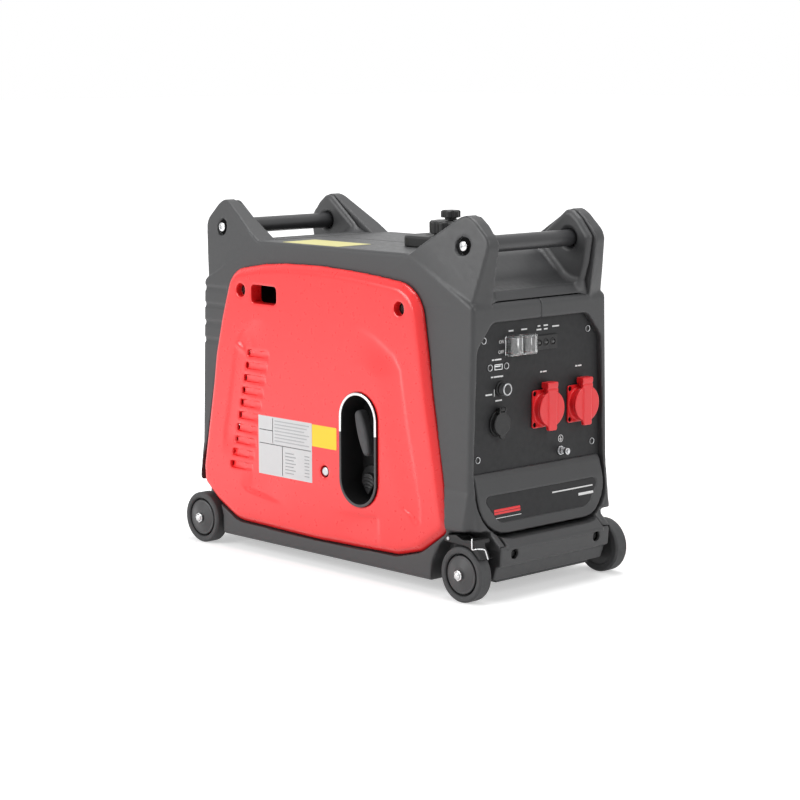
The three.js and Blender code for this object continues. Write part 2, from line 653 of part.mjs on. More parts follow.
// One slanted louvre: open at its rear end and running out to nothing at its front end.
function louvreCutter(x, z) {
  const deep = SIDE_COVER_Y - SIDE_COVER_WALL - 2;
  const wedge = [
    [x, -SIDE_COVER_Y - 2],
    [x, -deep],
    [x + SLOT_LENGTH * 0.3, -deep],
    [x + SLOT_LENGTH, -SIDE_COVER_Y + 0.8],
    [x + SLOT_LENGTH, -SIDE_COVER_Y - 2],
  ].map(([u, v]) => new THREE.Vector2(u, v));
  return prism("z", wedge.reverse(), z - SLOT_HEIGHT / 2, z + SLOT_HEIGHT / 2);
}

function sideCover(withStarter) {
  const back = -BODY_HALF_WIDTH - GAP;
  let cover = loft("y", [
    { at: back, points: outline(sideCoverCorners) },
    { at: -SIDE_COVER_Y + SIDE_COVER_BEVEL, points: outline(sideCoverCorners) },
    { at: -SIDE_COVER_Y, points: outline(sideCoverCorners, SIDE_COVER_BEVEL) },
  ]);
  const inside = -SIDE_COVER_Y + SIDE_COVER_WALL;
  let hollow = prism("y", outline(sideCoverCorners, SIDE_COVER_RIM), inside, back + 1);
  for (const [x, z] of sideCoverScrews) hollow = cut(hollow, rod("y", 9, inside - 1, back + 2, x, z, 16));
  cover = cut(cover, hollow);
  for (const [x, z] of sideCoverScrews) cover = cut(cover, rod("y", 5.5, -SIDE_COVER_Y - 1, back - 2, x, z, 16));
  for (let i = 0; i < COVER_SLOTS; i++) {
    const share = i / (COVER_SLOTS - 1);
    const x = THREE.MathUtils.lerp(SLOT_TOP_X, SLOT_BOTTOM_X, share);
    const z = THREE.MathUtils.lerp(SLOT_TOP_Z, SLOT_BOTTOM_Z, share);
    cover = cut(cover, louvreCutter(x, z));
  }
  if (!withStarter) return cover;
  const air = roundedBox(AIR_WINDOW_X, AIR_WINDOW_Z, AIR_WINDOW_LENGTH / 2, AIR_WINDOW_HEIGHT / 2, 4);
  cover = cut(cover, prism("y", outline(air, 0, 2), -SIDE_COVER_Y - 1, back + 1));
  return cut(cover, prism("y", outline(starterHole, 0, 4), -SIDE_COVER_Y - 1, back + 1));
}

function controlPanel() {
  const corners = windowCorners.map(([y, z, radius]) => [y, Math.max(z, PANEL_BOTTOM_Z - 8), radius]);
  const upper = corners.slice(3, 9);
  upper[0] = [WINDOW_HALF, PANEL_BOTTOM_Z - 8, 0];
  upper[5] = [-WINDOW_HALF, PANEL_BOTTOM_Z - 8, 0];
  const sheet = prism("x", outline(upper, -PANEL_LAP), PANEL_X - PANEL_THICKNESS, PANEL_X);
  const holes = [
    panelHole(ROCKERS[0], ROCKER_HALF_WIDTH + 0.7, ROCKER_HALF_HEIGHT + 1.2),
    panelHole(ROCKERS[1], ROCKER_HALF_WIDTH + 0.7, ROCKER_HALF_HEIGHT + 1.2),
    panelHole([USB_Y, USB_Z], USB_HALF_WIDTH + GAP, USB_HALF_HEIGHT + GAP),
    rod("x", BREAKER_SHANK_RADIUS + PLAY, PANEL_X - 5, PANEL_X + 1, BREAKER_Y, BREAKER_Z),
    rod("x", DC_BARREL_RADIUS + GAP, PANEL_X - 5, PANEL_X + 1, DC_Y, DC_Z),
    rod("x", MAINS_BARREL_RADIUS + GAP, PANEL_X - 5, PANEL_X + 1, MAINS_YS[0], MAINS_Z),
    rod("x", MAINS_BARREL_RADIUS + GAP, PANEL_X - 5, PANEL_X + 1, MAINS_YS[1], MAINS_Z),
    rod("x", GROUND_STUD_RADIUS + GAP, PANEL_X - 5, PANEL_X + 1, GROUND_Y, GROUND_Z),
  ];
  return cut(sheet, ...holes);
}

function panelHole([y, z], halfWidth, halfHeight) {
  return block([PANEL_X - 5, PANEL_X + 1], [y - halfWidth, y + halfWidth], [z - halfHeight, z + halfHeight]);
}

// The bulging cover below the panel: an extruded section cut to the opening's outline.
function lowerCover() {
  const height = PANEL_BOTTOM_Z - WINDOW_BOTTOM_Z;
  const section = [
    [-20.7, 1],
    [-20.7, -0.1],
    [-3, -0.1],
    [0, 0.06],
    [-4, 0.22],
    [-9, 0.66],
    [-13, 0.9],
    [-16, 0.975],
    [-19, 1],
  ].map(([back, up]) => new THREE.Vector2(COVER_BULGE_X + back, WINDOW_BOTTOM_Z + up * height));
  const whole = prism("y", section, -WINDOW_HALF, WINDOW_HALF);
  const face = outline(windowCorners, COVER_SIDE_GAP);
  const cover = whole.intersect(prism("x", face, PANEL_X, COVER_BULGE_X + 5));
  const inner = section.map((p) => new THREE.Vector2(p.x - (p.x > PANEL_X + 1 ? 3 : 4), p.y));
  const hollow = prism("y", inner, -WINDOW_HALF, WINDOW_HALF).intersect(
    prism("x", outline(windowCorners, COVER_SIDE_GAP + 3), PANEL_X - 5, COVER_BULGE_X),
  );
  return cut(cover, hollow);
}

// A bumper bar: a ramp on top, an upright face and a tucked-in lower lip.
function bumper(end) {
  const middle = THREE.MathUtils.lerp(BUMPER_BOTTOM_Z, BUMPER_TOP_Z, 0.4);
  const section = [
    [COVER_BULGE_X - 6, BUMPER_BOTTOM_Z],
    [BUMPER_X - 14.5, BUMPER_BOTTOM_Z],
    [BUMPER_X - 9, middle - 2],
    [BUMPER_X - 2, middle + 1],
    [BUMPER_X, BUMPER_TOP_Z - 3],
    [BUMPER_X - 1, BUMPER_TOP_Z],
    [COVER_BULGE_X - 6, BUMPER_TOP_Z],
  ].map(([x, z]) => new THREE.Vector2(x, z));
  const hollowSection = [
    [COVER_BULGE_X - 10, BUMPER_BOTTOM_Z - 2],
    [BUMPER_X - 18.5, BUMPER_BOTTOM_Z - 2],
    [BUMPER_X - 13, middle],
    [BUMPER_X - 6, middle + 4],
    [BUMPER_X - BUMPER_WALL, BUMPER_TOP_Z - 5],
    [BUMPER_X - 5, BUMPER_TOP_Z - BUMPER_WALL],
    [COVER_BULGE_X - 10, BUMPER_TOP_Z - BUMPER_WALL],
  ].map(([x, z]) => new THREE.Vector2(x, z));
  const half = end.bumperHalf;
  const bar = prism("y", section, -half, half);
  const hollow = prism("y", hollowSection, -half + BUMPER_WALL, half - BUMPER_WALL);
  const ramp = [
    [COVER_BULGE_X - 18, LEDGE_Z - 8],
    [COVER_BULGE_X - 18, BUMPER_TOP_Z - 1],
    [BUMPER_X - 1.5, BUMPER_TOP_Z - 1],
    [BUMPER_X - 1, BUMPER_TOP_Z],
    [COVER_BULGE_X + GAP, WINDOW_BOTTOM_Z + 4],
    [COVER_BULGE_X - 4, LEDGE_Z - 8],
  ].map(([x, z]) => new THREE.Vector2(x, z));
  return placed(joined(cut(bar, hollow), prism("y", ramp, -LEDGE_HALF, LEDGE_HALF)), end);
}

// The rear outlet: a frame with cross bars and a ring for the exhaust.
function rearGrille() {
  const outside = outline(rearOpeningCorners, GAP);
  const thickness = [-BODY_HALF_LENGTH + 1, -CAVITY_END_X - GAP];
  let grille = prism("x", outside, ...thickness);
  const lip = outline(rearOpeningCorners, -PANEL_LAP);
  const flange = prism("x", lip, -CAVITY_END_X + GAP, -CAVITY_END_X + GAP + 3);
  grille = joined(grille, flange, prism("x", outside, -BODY_HALF_LENGTH + 1, -CAVITY_END_X + GAP + 1));
  const rows = 9;
  const pitch = (REAR_OPENING_HIGH_Z - REAR_OPENING_LOW_Z - 24) / rows;
  const rearEndX = [-BODY_HALF_LENGTH - 10, -CAVITY_END_X + 30];
  const ring = rod("x", EXHAUST_RADIUS + 9, ...rearEndX, EXHAUST_Y, EXHAUST_Z);
  for (let row = 0; row < rows; row++) {
    const z = REAR_OPENING_LOW_Z + 12 + pitch * (row + 0.5);
    const slot = block(
      [-BODY_HALF_LENGTH - 1, -CAVITY_END_X + 20],
      [-REAR_OPENING_HALF + 14, REAR_OPENING_HALF - 14],
      [z - pitch * 0.27, z + pitch * 0.27],
    );
    grille = cut(grille, cut(slot, ring));
  }
  return cut(grille, rod("x", EXHAUST_RADIUS + 2, ...rearEndX, EXHAUST_Y, EXHAUST_Z));
}

const PAN_Z = BODY_BOTTOM_Z + 2;
const PAN_THICKNESS = 4;
const PAN_TOP_Z = PAN_Z + PAN_THICKNESS;
const BRACKET_Y = REAR_BUMPER_HALF - 11; // inside the bumpers

function basePan() {
  const middle = CAVITY_HALF_WIDTH - GAP;
  let pan = block([-REAR_ARCH_X + 8, FRONT_ARCH_X - 8], [-middle, middle], [PAN_Z, PAN_TOP_Z]);
  const tongueEnd = COVER_BULGE_X - 8;
  const tongue = block([-tongueEnd, tongueEnd], [-BRACKET_Y - 4, BRACKET_Y + 4], [PAN_Z, PAN_TOP_Z]);
  pan = joined(pan, tongue);
  for (const dir of [1, -1]) {
    for (const side of [1, -1]) {
      const x = dir * WHEEL_X;
      const ear = block([x - 10, x + 10], [side * BRACKET_Y - 4, side * BRACKET_Y + 4], [PAN_TOP_Z - 1, WHEEL_RADIUS + 11]);
      pan = joined(pan, ear);
    }
    pan = cut(pan, rod("y", AXLE_RADIUS + GAP, -BRACKET_Y - 10, BRACKET_Y + 10, dir * WHEEL_X, WHEEL_RADIUS));
  }
  return pan;
}

// ---------------------------------------------------------------- wheels and brake

const TYRE_INNER_Y = WHEEL_OUTER_Y - TYRE_WIDTH;

// Profiles of [radius, y] for a wheel whose outer face looks along +Y.
function tyre() {
  const round = 3;
  return spun(
    "y",
    [
      [HUB_RADIUS + GAP, TYRE_INNER_Y],
      [WHEEL_RADIUS - round, TYRE_INNER_Y],
      [WHEEL_RADIUS, TYRE_INNER_Y + round],
      [WHEEL_RADIUS, WHEEL_OUTER_Y - round],
      [WHEEL_RADIUS - round, WHEEL_OUTER_Y],
      [HUB_RADIUS + GAP, WHEEL_OUTER_Y],
      [HUB_RADIUS + GAP, TYRE_INNER_Y],
    ],
    WHEEL_SIDES,
  );
}

function hub() {
  const bore = AXLE_RADIUS + PLAY;
  return spun(
    "y",
    [
      [bore, ARCH_INNER_Y + PLAY],
      [bore + 5, ARCH_INNER_Y + PLAY],
      [bore + 5, TYRE_INNER_Y + 4],
      [HUB_RADIUS, TYRE_INNER_Y + 1],
      [HUB_RADIUS, WHEEL_OUTER_Y - 2],
      [bore + 7, WHEEL_OUTER_Y + HUB_CREST],
      [bore, WHEEL_OUTER_Y + HUB_CREST],
      [bore, ARCH_INNER_Y + PLAY],
    ],
    WHEEL_SIDES,
  );
}

function axle() {
  const shaft = rod("y", AXLE_RADIUS, -AXLE_HALF_LENGTH + 2, AXLE_HALF_LENGTH - 2, 0, 0, 14);
  const seat = WHEEL_OUTER_Y + HUB_CREST + PLAY;
  const nut = spun(
    "y",
    [
      [0, seat],
      [AXLE_NUT_RADIUS, seat],
      [AXLE_NUT_RADIUS, seat + 3],
      [AXLE_NUT_RADIUS - 2, AXLE_HALF_LENGTH - 1],
      [AXLE_NUT_RADIUS - 4, AXLE_HALF_LENGTH],
      [0, AXLE_HALF_LENGTH],
    ],
    12,
  );
  return joined(shaft, nut, mirrored(nut, "y"));
}

const BRAKE_PIVOT_X = WHEEL_X - 24.6;
const BRAKE_PIVOT_Z = TREAD_TOP_Z + 7.6;
const BRAKE_PIN_RADIUS = 2.5;
const BRAKE_OUTER_Y = WHEEL_OUTER_Y - 2.7;
const BRAKE_INNER_Y = WHEEL_OUTER_Y - 29.7;

// Foot brake: a pedal over the wheel with a shoe that hangs in front of the tread.
function brakeLever() {
  const profile = [
    [-30.6, 3.6],
    [-27.6, 2.2],
    [0.4, 1.6],
    [10.4, 0.4],
    [18.4, -3.8],
    [25.4, -9.8],
    [29.6, -14],
    [32.9, -11.9],
    [29.4, -3.4],
    [24.4, 2.6],
    [23.4, 11.6],
    [0.4, 10.1],
    [-24.6, 12.1],
    [-29.6, 10.6],
  ].map(([along, up]) => new THREE.Vector2(WHEEL_X + along, TREAD_TOP_Z + up));
  const lever = prism("y", profile, -BRAKE_OUTER_Y, -BRAKE_INNER_Y);
  return cut(
    lever,
    rod("y", BRAKE_PIN_RADIUS + PLAY / 2, -BRAKE_OUTER_Y - 1, -BRAKE_INNER_Y + 1, BRAKE_PIVOT_X, BRAKE_PIVOT_Z, 16),
  );
}

// The pin that the brake turns on, held in the wall of the wheel arch, and the hole it goes in.
function brakePin(extraRadius, innerY) {
  return rod("y", BRAKE_PIN_RADIUS + extraRadius, -BRAKE_OUTER_Y - 1, innerY, BRAKE_PIVOT_X, BRAKE_PIVOT_Z, 12);
}

// The bent wire that latches the brake: down beside the pedal and round in front of the shoe.
function brakeWire() {
  const stops = [
    [19.4, 0, 13.6],
    [19.9, 0, -6.4],
    [29.4, 0, 0.6],
    [33.9, 6, 0.6],
    [35.2, 10, -6.4],
    [35, 12, -13.4],
  ].map(([x, y, z]) => new THREE.Vector3(WHEEL_X + x, y - BRAKE_OUTER_Y - 1.6, TREAD_TOP_Z + z));
  const curve = new THREE.CatmullRomCurve3(stops, false, "catmullrom", 0.2);
  const section = new THREE.Shape(circle(0.9, 0, 0, 6));
  const geometry = new THREE.ExtrudeGeometry(section, { steps: 18, bevelEnabled: false, extrudePath: curve });
  return toSolid(geometry);
}

// ---------------------------------------------------------------- control panel fittings

const PANEL_X = CAVITY_END_X - GAP;
const COVER_SIDE_GAP = 3.5;
const ROCKERS = [
  [-47.4, PANEL_BOTTOM_Z + 160.6],
  [-21.6, PANEL_BOTTOM_Z + 160.3],
];
const ROCKER_HALF_WIDTH = 8;
const ROCKER_HALF_HEIGHT = 9.5;
const ROCKER_REST_DEG = 10;
const BOOT_DEPTH = 12;
const INDICATOR_Y = 16;
const INDICATOR_Z = PANEL_BOTTOM_Z + 159.6;
const USB_Y = -72;
const USB_Z = PANEL_BOTTOM_Z + 135;
const USB_HALF_WIDTH = 7.5;
const USB_HALF_HEIGHT = 4;
const BREAKER_Y = -67;
const BREAKER_Z = PANEL_BOTTOM_Z + 106.5;
const BREAKER_RADIUS = 8;
const BREAKER_SHANK_RADIUS = 5.5;
const BREAKER_TRAVEL = 3;
const DC_Y = -72;
const DC_Z = PANEL_BOTTOM_Z + 62;
const DC_FLANGE_RADIUS = 17;
const DC_BARREL_RADIUS = 13;
const DC_BORE_RADIUS = 10.5;
const DC_LENGTH = 32;
const MAINS_YS = [15, 83];
const MAINS_Z = PANEL_BOTTOM_Z + 73;
const MAINS_HALF = 25;
const MAINS_BARREL_RADIUS = 22;
const MAINS_WELL_RADIUS = 19.5;
const MAINS_WELL_DEPTH = 17.5;
const MAINS_FACE = 11; // how far the socket's rim stands out of the panel
const LID_RADIUS = 23.7;
const LID_THICKNESS = 4;
const LID_BAND_HALF = 9.5;
const GROUND_Y = 47;
const GROUND_Z = PANEL_BOTTOM_Z + 13;
const GROUND_STUD_RADIUS = 2.5;

// Where pieces sit on the panel, local x = 0 is its face.
function onPanel(y, z) {
  return addGroup(PANEL_X, y, z);
}

// A rocker seen from the side, in its OFF rest: the top stands out.
function rocker() {
  const h = ROCKER_HALF_HEIGHT;
  const profile = [
    [-7, -h + 4],
    [1, -h],
    [4.5, -h],
    [2.5, 0],
    [4.5, h],
    [1, h],
    [-7, h - 4],
  ].map(([x, z]) => new THREE.Vector2(x, z));
  return prism("y", profile, -ROCKER_HALF_WIDTH, ROCKER_HALF_WIDTH);
}

// Clear cap over both rockers, open at the back.
function rockerBoot() {
  const middle = (ROCKERS[0][0] + ROCKERS[1][0]) / 2;
  const half = (ROCKERS[1][0] - ROCKERS[0][0]) / 2;
  const boots = [-half, half].map((y) => {
    const face = roundedBox(y, 0, 12, 13.2, 3);
    return loft("x", [
      { at: GAP, points: outline(face, 0, 2) },
      { at: BOOT_DEPTH - 2, points: outline(face, 1.2, 2) },
      { at: BOOT_DEPTH, points: outline(face, 2.8, 2) },
    ]);
  });
  const plate = block([GAP, 1.6], [-half - 4, half + 4], [-13.2, 13.2]);
  const wells = [-half, half].map((y) => block([-1, BOOT_DEPTH - 1.6], [y - 9.4, y + 9.4], [-11, 11]));
  return { solid: cut(joined(...boots, plate), ...wells), y: middle };
}

function indicatorBlock() {
  const plate = loft("x", [
    { at: GAP, points: outline(roundedBox(0, 0, 21.5, 9.5, 2), 0, 2) },
    { at: 2, points: outline(roundedBox(0, 0, 21.5, 9.5, 2), 0.8, 2) },
  ]);
  const lamps = [-13, 0, 13].map((y) => rod("x", 3.6, 1.2, 3, y, 0, 16));
  return cut(plate, ...lamps);
}

function usbPort() {
  const body = block([-14, 1], [-USB_HALF_WIDTH, USB_HALF_WIDTH], [-USB_HALF_HEIGHT, USB_HALF_HEIGHT]);
  return cut(body, block([-11, 2], [-6.3, 6.3], [-2.7, 2.7]));
}

function breakerButton() {
  const shank = rod("x", BREAKER_SHANK_RADIUS, -12, 5, 0, 0, 20);
  const head = spun(
    "x",
    [
      [0, BREAKER_TRAVEL + 1],
      [BREAKER_RADIUS, BREAKER_TRAVEL + 1],
      [BREAKER_RADIUS, 12],
      [BREAKER_RADIUS - 1.5, 13.5],
      [0, 13.5],
    ],
    24,
  );
  return joined(shank, head);
}

const DC_HINGE_X = 7.5;
const DC_HINGE_Z = 19;

function dcSocket() {
  const flange = rod("x", DC_FLANGE_RADIUS, GAP, 3);
  const barrel = rod("x", DC_BARREL_RADIUS, 4 - DC_LENGTH, 6);
  const post = block([GAP, DC_HINGE_X], [-3, 3], [DC_FLANGE_RADIUS - 1.5, DC_HINGE_Z + 2]);
  const knuckle = rod("y", 3, -3, 3, DC_HINGE_X, DC_HINGE_Z, 16);
  const body = joined(flange, barrel, post, knuckle);
  const pinHole = rod("y", 1.9, -4, 4, DC_HINGE_X, DC_HINGE_Z, 16);
  return cut(body, rod("x", DC_BORE_RADIUS, 6 - DC_LENGTH, 7), pinHole);
}

// Flap that closes the 12 volt socket, modelled about its own hinge pin.
function dcCap() {
  const face = 6 + GAP - DC_HINGE_X;
  const disc = rod("x", 15, face, face + 3, 0, -DC_HINGE_Z);
  const strap = block([face, face + 3], [-6, 6], [-9, 3]);
  const cheeks = [-4.8, 4.8].map((y) => rod("y", 3, y - 1.4, y + 1.4, 0, 0, 16));
  const pin = rod("y", 1.5, -4.8, 4.8, 0, 0, 16);
  const slot = block([-6, 12], [-3.4, 3.4], [-4, 4]);
  return joined(cut(joined(disc, strap), slot), ...cheeks, pin);
}

const LID_HINGE_X = 9;
const LID_HINGE_Z = 30.5;

// A mains socket with its round well, its square flange and the knuckle for the lid.
function mainsSocket() {
  const flange = prism("x", outline(roundedBox(0, 0, MAINS_HALF, MAINS_HALF, 3), 0, 2), GAP, 3);
  const collar = rod("x", LID_RADIUS - 1, 2, MAINS_FACE);
  const barrel = rod("x", MAINS_BARREL_RADIUS, -18, 3);
  const post = block([GAP, LID_HINGE_X], [-4, 4], [LID_RADIUS - 4, LID_HINGE_Z - 1]);
  const knuckle = rod("y", 3.4, -4, 4, LID_HINGE_X, LID_HINGE_Z, 16);
  const well = rod("x", MAINS_WELL_RADIUS, MAINS_FACE - MAINS_WELL_DEPTH, MAINS_FACE + 1);
  const pinHole = rod("y", 2.1, -5, 5, LID_HINGE_X, LID_HINGE_Z, 16);
  const contacts = [-9.5, 9.5].map((y) => rod("x", 2.5, MAINS_FACE - MAINS_WELL_DEPTH - 12, 0, y, 0, 12));
  const corners = [-20.5, 20.5].flatMap((y) => [-20.5, 20.5].map((z) => rod("x", 2, 1, 4, y, z, 12)));
  return cut(joined(flange, collar, barrel, post, knuckle), well, pinHole, ...contacts, ...corners);
}

// The spring lid of a mains socket, modelled about its own hinge pin.
function mainsLid() {
  const face = MAINS_FACE + GAP - LID_HINGE_X;
  const drop = -LID_HINGE_Z;
  const disc = rod("x", LID_RADIUS, face, face + LID_THICKNESS, 0, drop, 28);
  const band = block([face, face + LID_THICKNESS + 1.2], [-LID_BAND_HALF, LID_BAND_HALF], [drop - LID_RADIUS - 5, 4.6]);
  const hood = block([-6, face + LID_THICKNESS + 1.2], [-LID_BAND_HALF, LID_BAND_HALF], [-3.4, 4.6]);
  const room = block([-9, 4], [-4.6, 4.6], [-9, 3.9]);
  const swing = block([-9, face - 0.1], [-4.6, 4.6], [-9, 8]);
  const pin = rod("y", 1.7, -LID_BAND_HALF + 1, LID_BAND_HALF - 1, 0, 0, 16);
  return joined(cut(joined(disc, band, hood), room, swing), pin);
}

function groundStud() {
  const washer = rod("x", 6, GAP, 1.8, 0, 0, 20);
  const nut = rod("x", 5, 1.5, 6, 0, 0, 6);
  const shaft = rod("x", GROUND_STUD_RADIUS, -8, 16, 0, 0, 12);
  return joined(washer, nut, shaft);
}

function groundNut() {
  return cut(rod("x", 4.6, 9, 14, 0, 0, 6), rod("x", GROUND_STUD_RADIUS + GAP, 8, 15, 0, 0, 12));
}

// ---------------------------------------------------------------- fuel

const FILLER_TOP_Z = DECK_Z + GAP + FILLER_HEIGHT;
const NECK_TOP_Z = FILLER_TOP_Z + 0.5; // the seal stands on it, inside the cap's mouth
const SEAL_THICKNESS = 4;
const CAP_BOTTOM_Z = FILLER_TOP_Z + 2.2;
const TANK_TOP_Z = DECK_Z - CASING_WALL - 4;
const TANK_BOTTOM_Z = DECK_Z - 93.5;
const TANK_HALF_WIDTH = 95;
const TANK_REAR_X = -70;
const TANK_FRONT_X = FILLER_X + FILLER_HALF + 19;
const TANK_WALL = 2.5;

function fillerBase() {
  const face = roundedBox(FILLER_X, 0, FILLER_HALF, FILLER_HALF, 24);
  const base = loft("z", [
    { at: DECK_Z + GAP, points: outline(face) },
    { at: FILLER_TOP_Z - 1.5, points: outline(face) },
    { at: FILLER_TOP_Z, points: outline(face, 1.5) },
  ]);
  const neck = rod("z", NECK_BORE_RADIUS + NECK_WALL, TANK_TOP_Z - 6, NECK_TOP_Z, FILLER_X, 0);
  return cut(joined(base, neck), rod("z", NECK_BORE_RADIUS, TANK_TOP_Z - 10, NECK_TOP_Z + 1, FILLER_X, 0));
}

function fuelTank() {
  const face = [
    [TANK_REAR_X, -TANK_HALF_WIDTH, 20],
    [TANK_FRONT_X, -TANK_HALF_WIDTH, 20],
    [TANK_FRONT_X, TANK_HALF_WIDTH, 20],
    [TANK_REAR_X, TANK_HALF_WIDTH, 20],
  ];
  const skin = (inset) =>
    loft("z", [
      { at: TANK_BOTTOM_Z + inset, points: outline(face, 10 + inset) },
      { at: TANK_BOTTOM_Z + 12, points: outline(face, inset) },
      { at: TANK_TOP_Z - 12, points: outline(face, inset) },
      { at: TANK_TOP_Z - inset, points: outline(face, 10 + inset) },
    ]);
  const neck = rod("z", NECK_BORE_RADIUS + NECK_WALL + GAP, TANK_TOP_Z - 10, TANK_TOP_Z + 1, FILLER_X, 0);
  return cut(skin(0), skin(TANK_WALL), neck);
}

function capSeal() {
  const outer = NECK_BORE_RADIUS + NECK_WALL;
  const ring = rod("z", outer, NECK_TOP_Z + GAP, NECK_TOP_Z + GAP + SEAL_THICKNESS);
  return cut(ring, rod("z", NECK_BORE_RADIUS, NECK_TOP_Z, NECK_TOP_Z + SEAL_THICKNESS + 1));
}

// Fuel cap with deep grip flutes, hollow below.
function fuelCap() {
  const top = CAP_BOTTOM_Z + CAP_HEIGHT;
  let cap = spun(
    "z",
    [
      [0, CAP_BOTTOM_Z],
      [CAP_RADIUS, CAP_BOTTOM_Z],
      [CAP_RADIUS, top - 2],
      [CAP_RADIUS - 2, top],
      [0, top],
    ],
    30,
  );
  const flutes = 10;
  for (let i = 0; i < flutes; i++) {
    const angle = (2 * Math.PI * i) / flutes;
    const reach = CAP_RADIUS + 3;
    cap = cut(
      cap,
      rod("z", 5, CAP_BOTTOM_Z - 1, top + 1, reach * Math.cos(angle), reach * Math.sin(angle), 8),
    );
  }
  const sealTop = NECK_TOP_Z + SEAL_THICKNESS + 2 * GAP;
  const bore = rod("z", clearRound(NECK_BORE_RADIUS + NECK_WALL + GAP), CAP_BOTTOM_Z - 1, sealTop);
  const stem = rod("z", 4.4, top - 8, top + 1, 0, 0, 20);
  return cut(cap, bore, stem);
}

function ventKnob() {
  const seat = CAP_BOTTOM_Z + CAP_HEIGHT + GAP;
  const lobes = 6;
  let knob = rod("z", VENT_RADIUS - 3, seat + 3.5, seat + VENT_HEIGHT, 0, 0, 24);
  for (let i = 0; i < lobes; i++) {
    const angle = (2 * Math.PI * i) / lobes;
    const reach = VENT_RADIUS - 3.6;
    knob = joined(
      knob,
      rod("z", 3.6, seat + 3.5, seat + VENT_HEIGHT, reach * Math.cos(angle), reach * Math.sin(angle), 8),
    );
  }
  return joined(knob, rod("z", 8, seat, seat + 4, 0, 0, 20), rod("z", 4, seat - 6, seat + 1, 0, 0, 20));
}

// ---------------------------------------------------------------- starter and dial

const STARTER_FLOOR_Y = -SIDE_COVER_Y + STARTER_DEPTH;

function stadium(halfWidth, steps = 4) {
  const corners = roundedBox(STARTER_X, STARTER_Z, halfWidth, STARTER_HALF_STRAIGHT + halfWidth, halfWidth - 0.01);
  return outline(corners, 0, steps);
}

function starterBezel() {
  const lip = loft("y", [
    { at: -SIDE_COVER_Y - GAP, points: stadium(STARTER_HALF_WIDTH + STARTER_LIP) },
    { at: -SIDE_COVER_Y - 1.5, points: stadium(STARTER_HALF_WIDTH + STARTER_LIP - 1) },
  ]);
  const cup = prism("y", stadium(STARTER_HALF_WIDTH + STARTER_WALL), -SIDE_COVER_Y - 1, STARTER_FLOOR_Y + STARTER_WALL);
  const bezel = cut(joined(lip, cup), prism("y", stadium(STARTER_HALF_WIDTH), -SIDE_COVER_Y - 5, STARTER_FLOOR_Y));
  const ropeHole = rod("y", ROPE_RADIUS + 2, STARTER_FLOOR_Y - 5, STARTER_FLOOR_Y + 10, GRIP_X, GRIP_Z, 16);
  const dialHole = rod("y", 5 + GAP, STARTER_FLOOR_Y - 5, STARTER_FLOOR_Y + 10, DIAL_X, DIAL_Z, 16);
  return cut(bezel, ropeHole, dialHole);
}

const GRIP_FACE_Y = -SIDE_COVER_Y + 6;
const GRIP_BACK_Y = GRIP_FACE_Y + GRIP_THICKNESS;

// The starter grip: a long oval, modelled upright about its middle.
function starterGrip() {
  const halfWidth = GRIP_WIDTH / 2;
  const corners = roundedBox(0, 0, halfWidth, GRIP_LENGTH / 2, halfWidth - 0.01);
  const grip = loft("y", [
    { at: 0, points: outline(corners, 2.5, 3) },
    { at: 3, points: outline(corners, 0, 3) },
    { at: GRIP_THICKNESS - 4, points: outline(corners, 0, 3) },
    { at: GRIP_THICKNESS, points: outline(corners, 3, 3) },
  ]);
  return cut(grip, rod("y", ROPE_RADIUS + GAP, GRIP_THICKNESS - 6, GRIP_THICKNESS + 1, 0, 0, 12));
}

function starterRope() {
  return rod("y", ROPE_RADIUS, GRIP_BACK_Y - 5, -PULLEY_SHIFT, GRIP_X, GRIP_Z, 12);
}

// The choke dial: a disc with a raised pointer, modelled about its own axis.
function chokeDial() {
  const disc = rod("y", DIAL_RADIUS, -9, -GAP, 0, 0, 32);
  const pointer = [
    [-4, -DIAL_RADIUS + 2],
    [4, -DIAL_RADIUS + 2],
    [8, 4],
    [4, 12],
    [-4, 12],
    [-8, 4],
  ].map(([x, z]) => new THREE.Vector2(x, z));
  return joined(disc, prism("y", pointer, -17, -8), rod("y", 5, -1, STARTER_WALL + 6, 0, 0, 16));
}

// ---------------------------------------------------------------- engine, alternator, inverter

const PULLEY_SHIFT = 2; // the rope ends on the pulley's rim, just short of the centre plane
const PULLEY_X = [GRIP_X - 5, GRIP_X + 5];
const ENGINE_X = [-150, -24];
const EXHAUST_PORT_X = -148;
const EXHAUST_PORT_Z = 262;
const ALTERNATOR_X = [-24, 52];
const ALTERNATOR_RADIUS = 92;
const ROTOR_RADIUS = 76;
const SHAFT_RADIUS = 10;

function engineBlock() {
  const crankcase = block(ENGINE_X, [-62, 62], [92, 214]);
  const barrel = block([ENGINE_X[0] + 18, ENGINE_X[1] - 22], [-38, 38], [206, 318]);
  const fins = [0, 1, 2, 3, 4, 5].map((i) => {
    const z = 226 + i * 14;
    return block([ENGINE_X[0] + 6, ENGINE_X[1] - 10], [-50, 50], [z, z + 5]);
  });
  const head = block([ENGINE_X[0] + 12, ENGINE_X[1] - 16], [-46, 46], [306, 330]);
  const feet = [-1, 1].flatMap((side) =>
    [ENGINE_X[0] + 12, ENGINE_X[1] - 34].map((x) =>
      block([x, x + 22], [side * 54 - 12, side * 54 + 12], [PAN_TOP_Z + GAP, 94]),
    ),
  );
  const port = rod("x", 16, EXHAUST_PORT_X, ENGINE_X[0] + 30, 0, EXHAUST_PORT_Z, 20);
  const bore = rod("x", SHAFT_RADIUS + PLAY, ENGINE_X[1] - 90, ENGINE_X[1] + 2, 0, CRANK_Z, 16);
  return cut(joined(crankcase, barrel, ...fins, head, ...feet, port), bore);
}

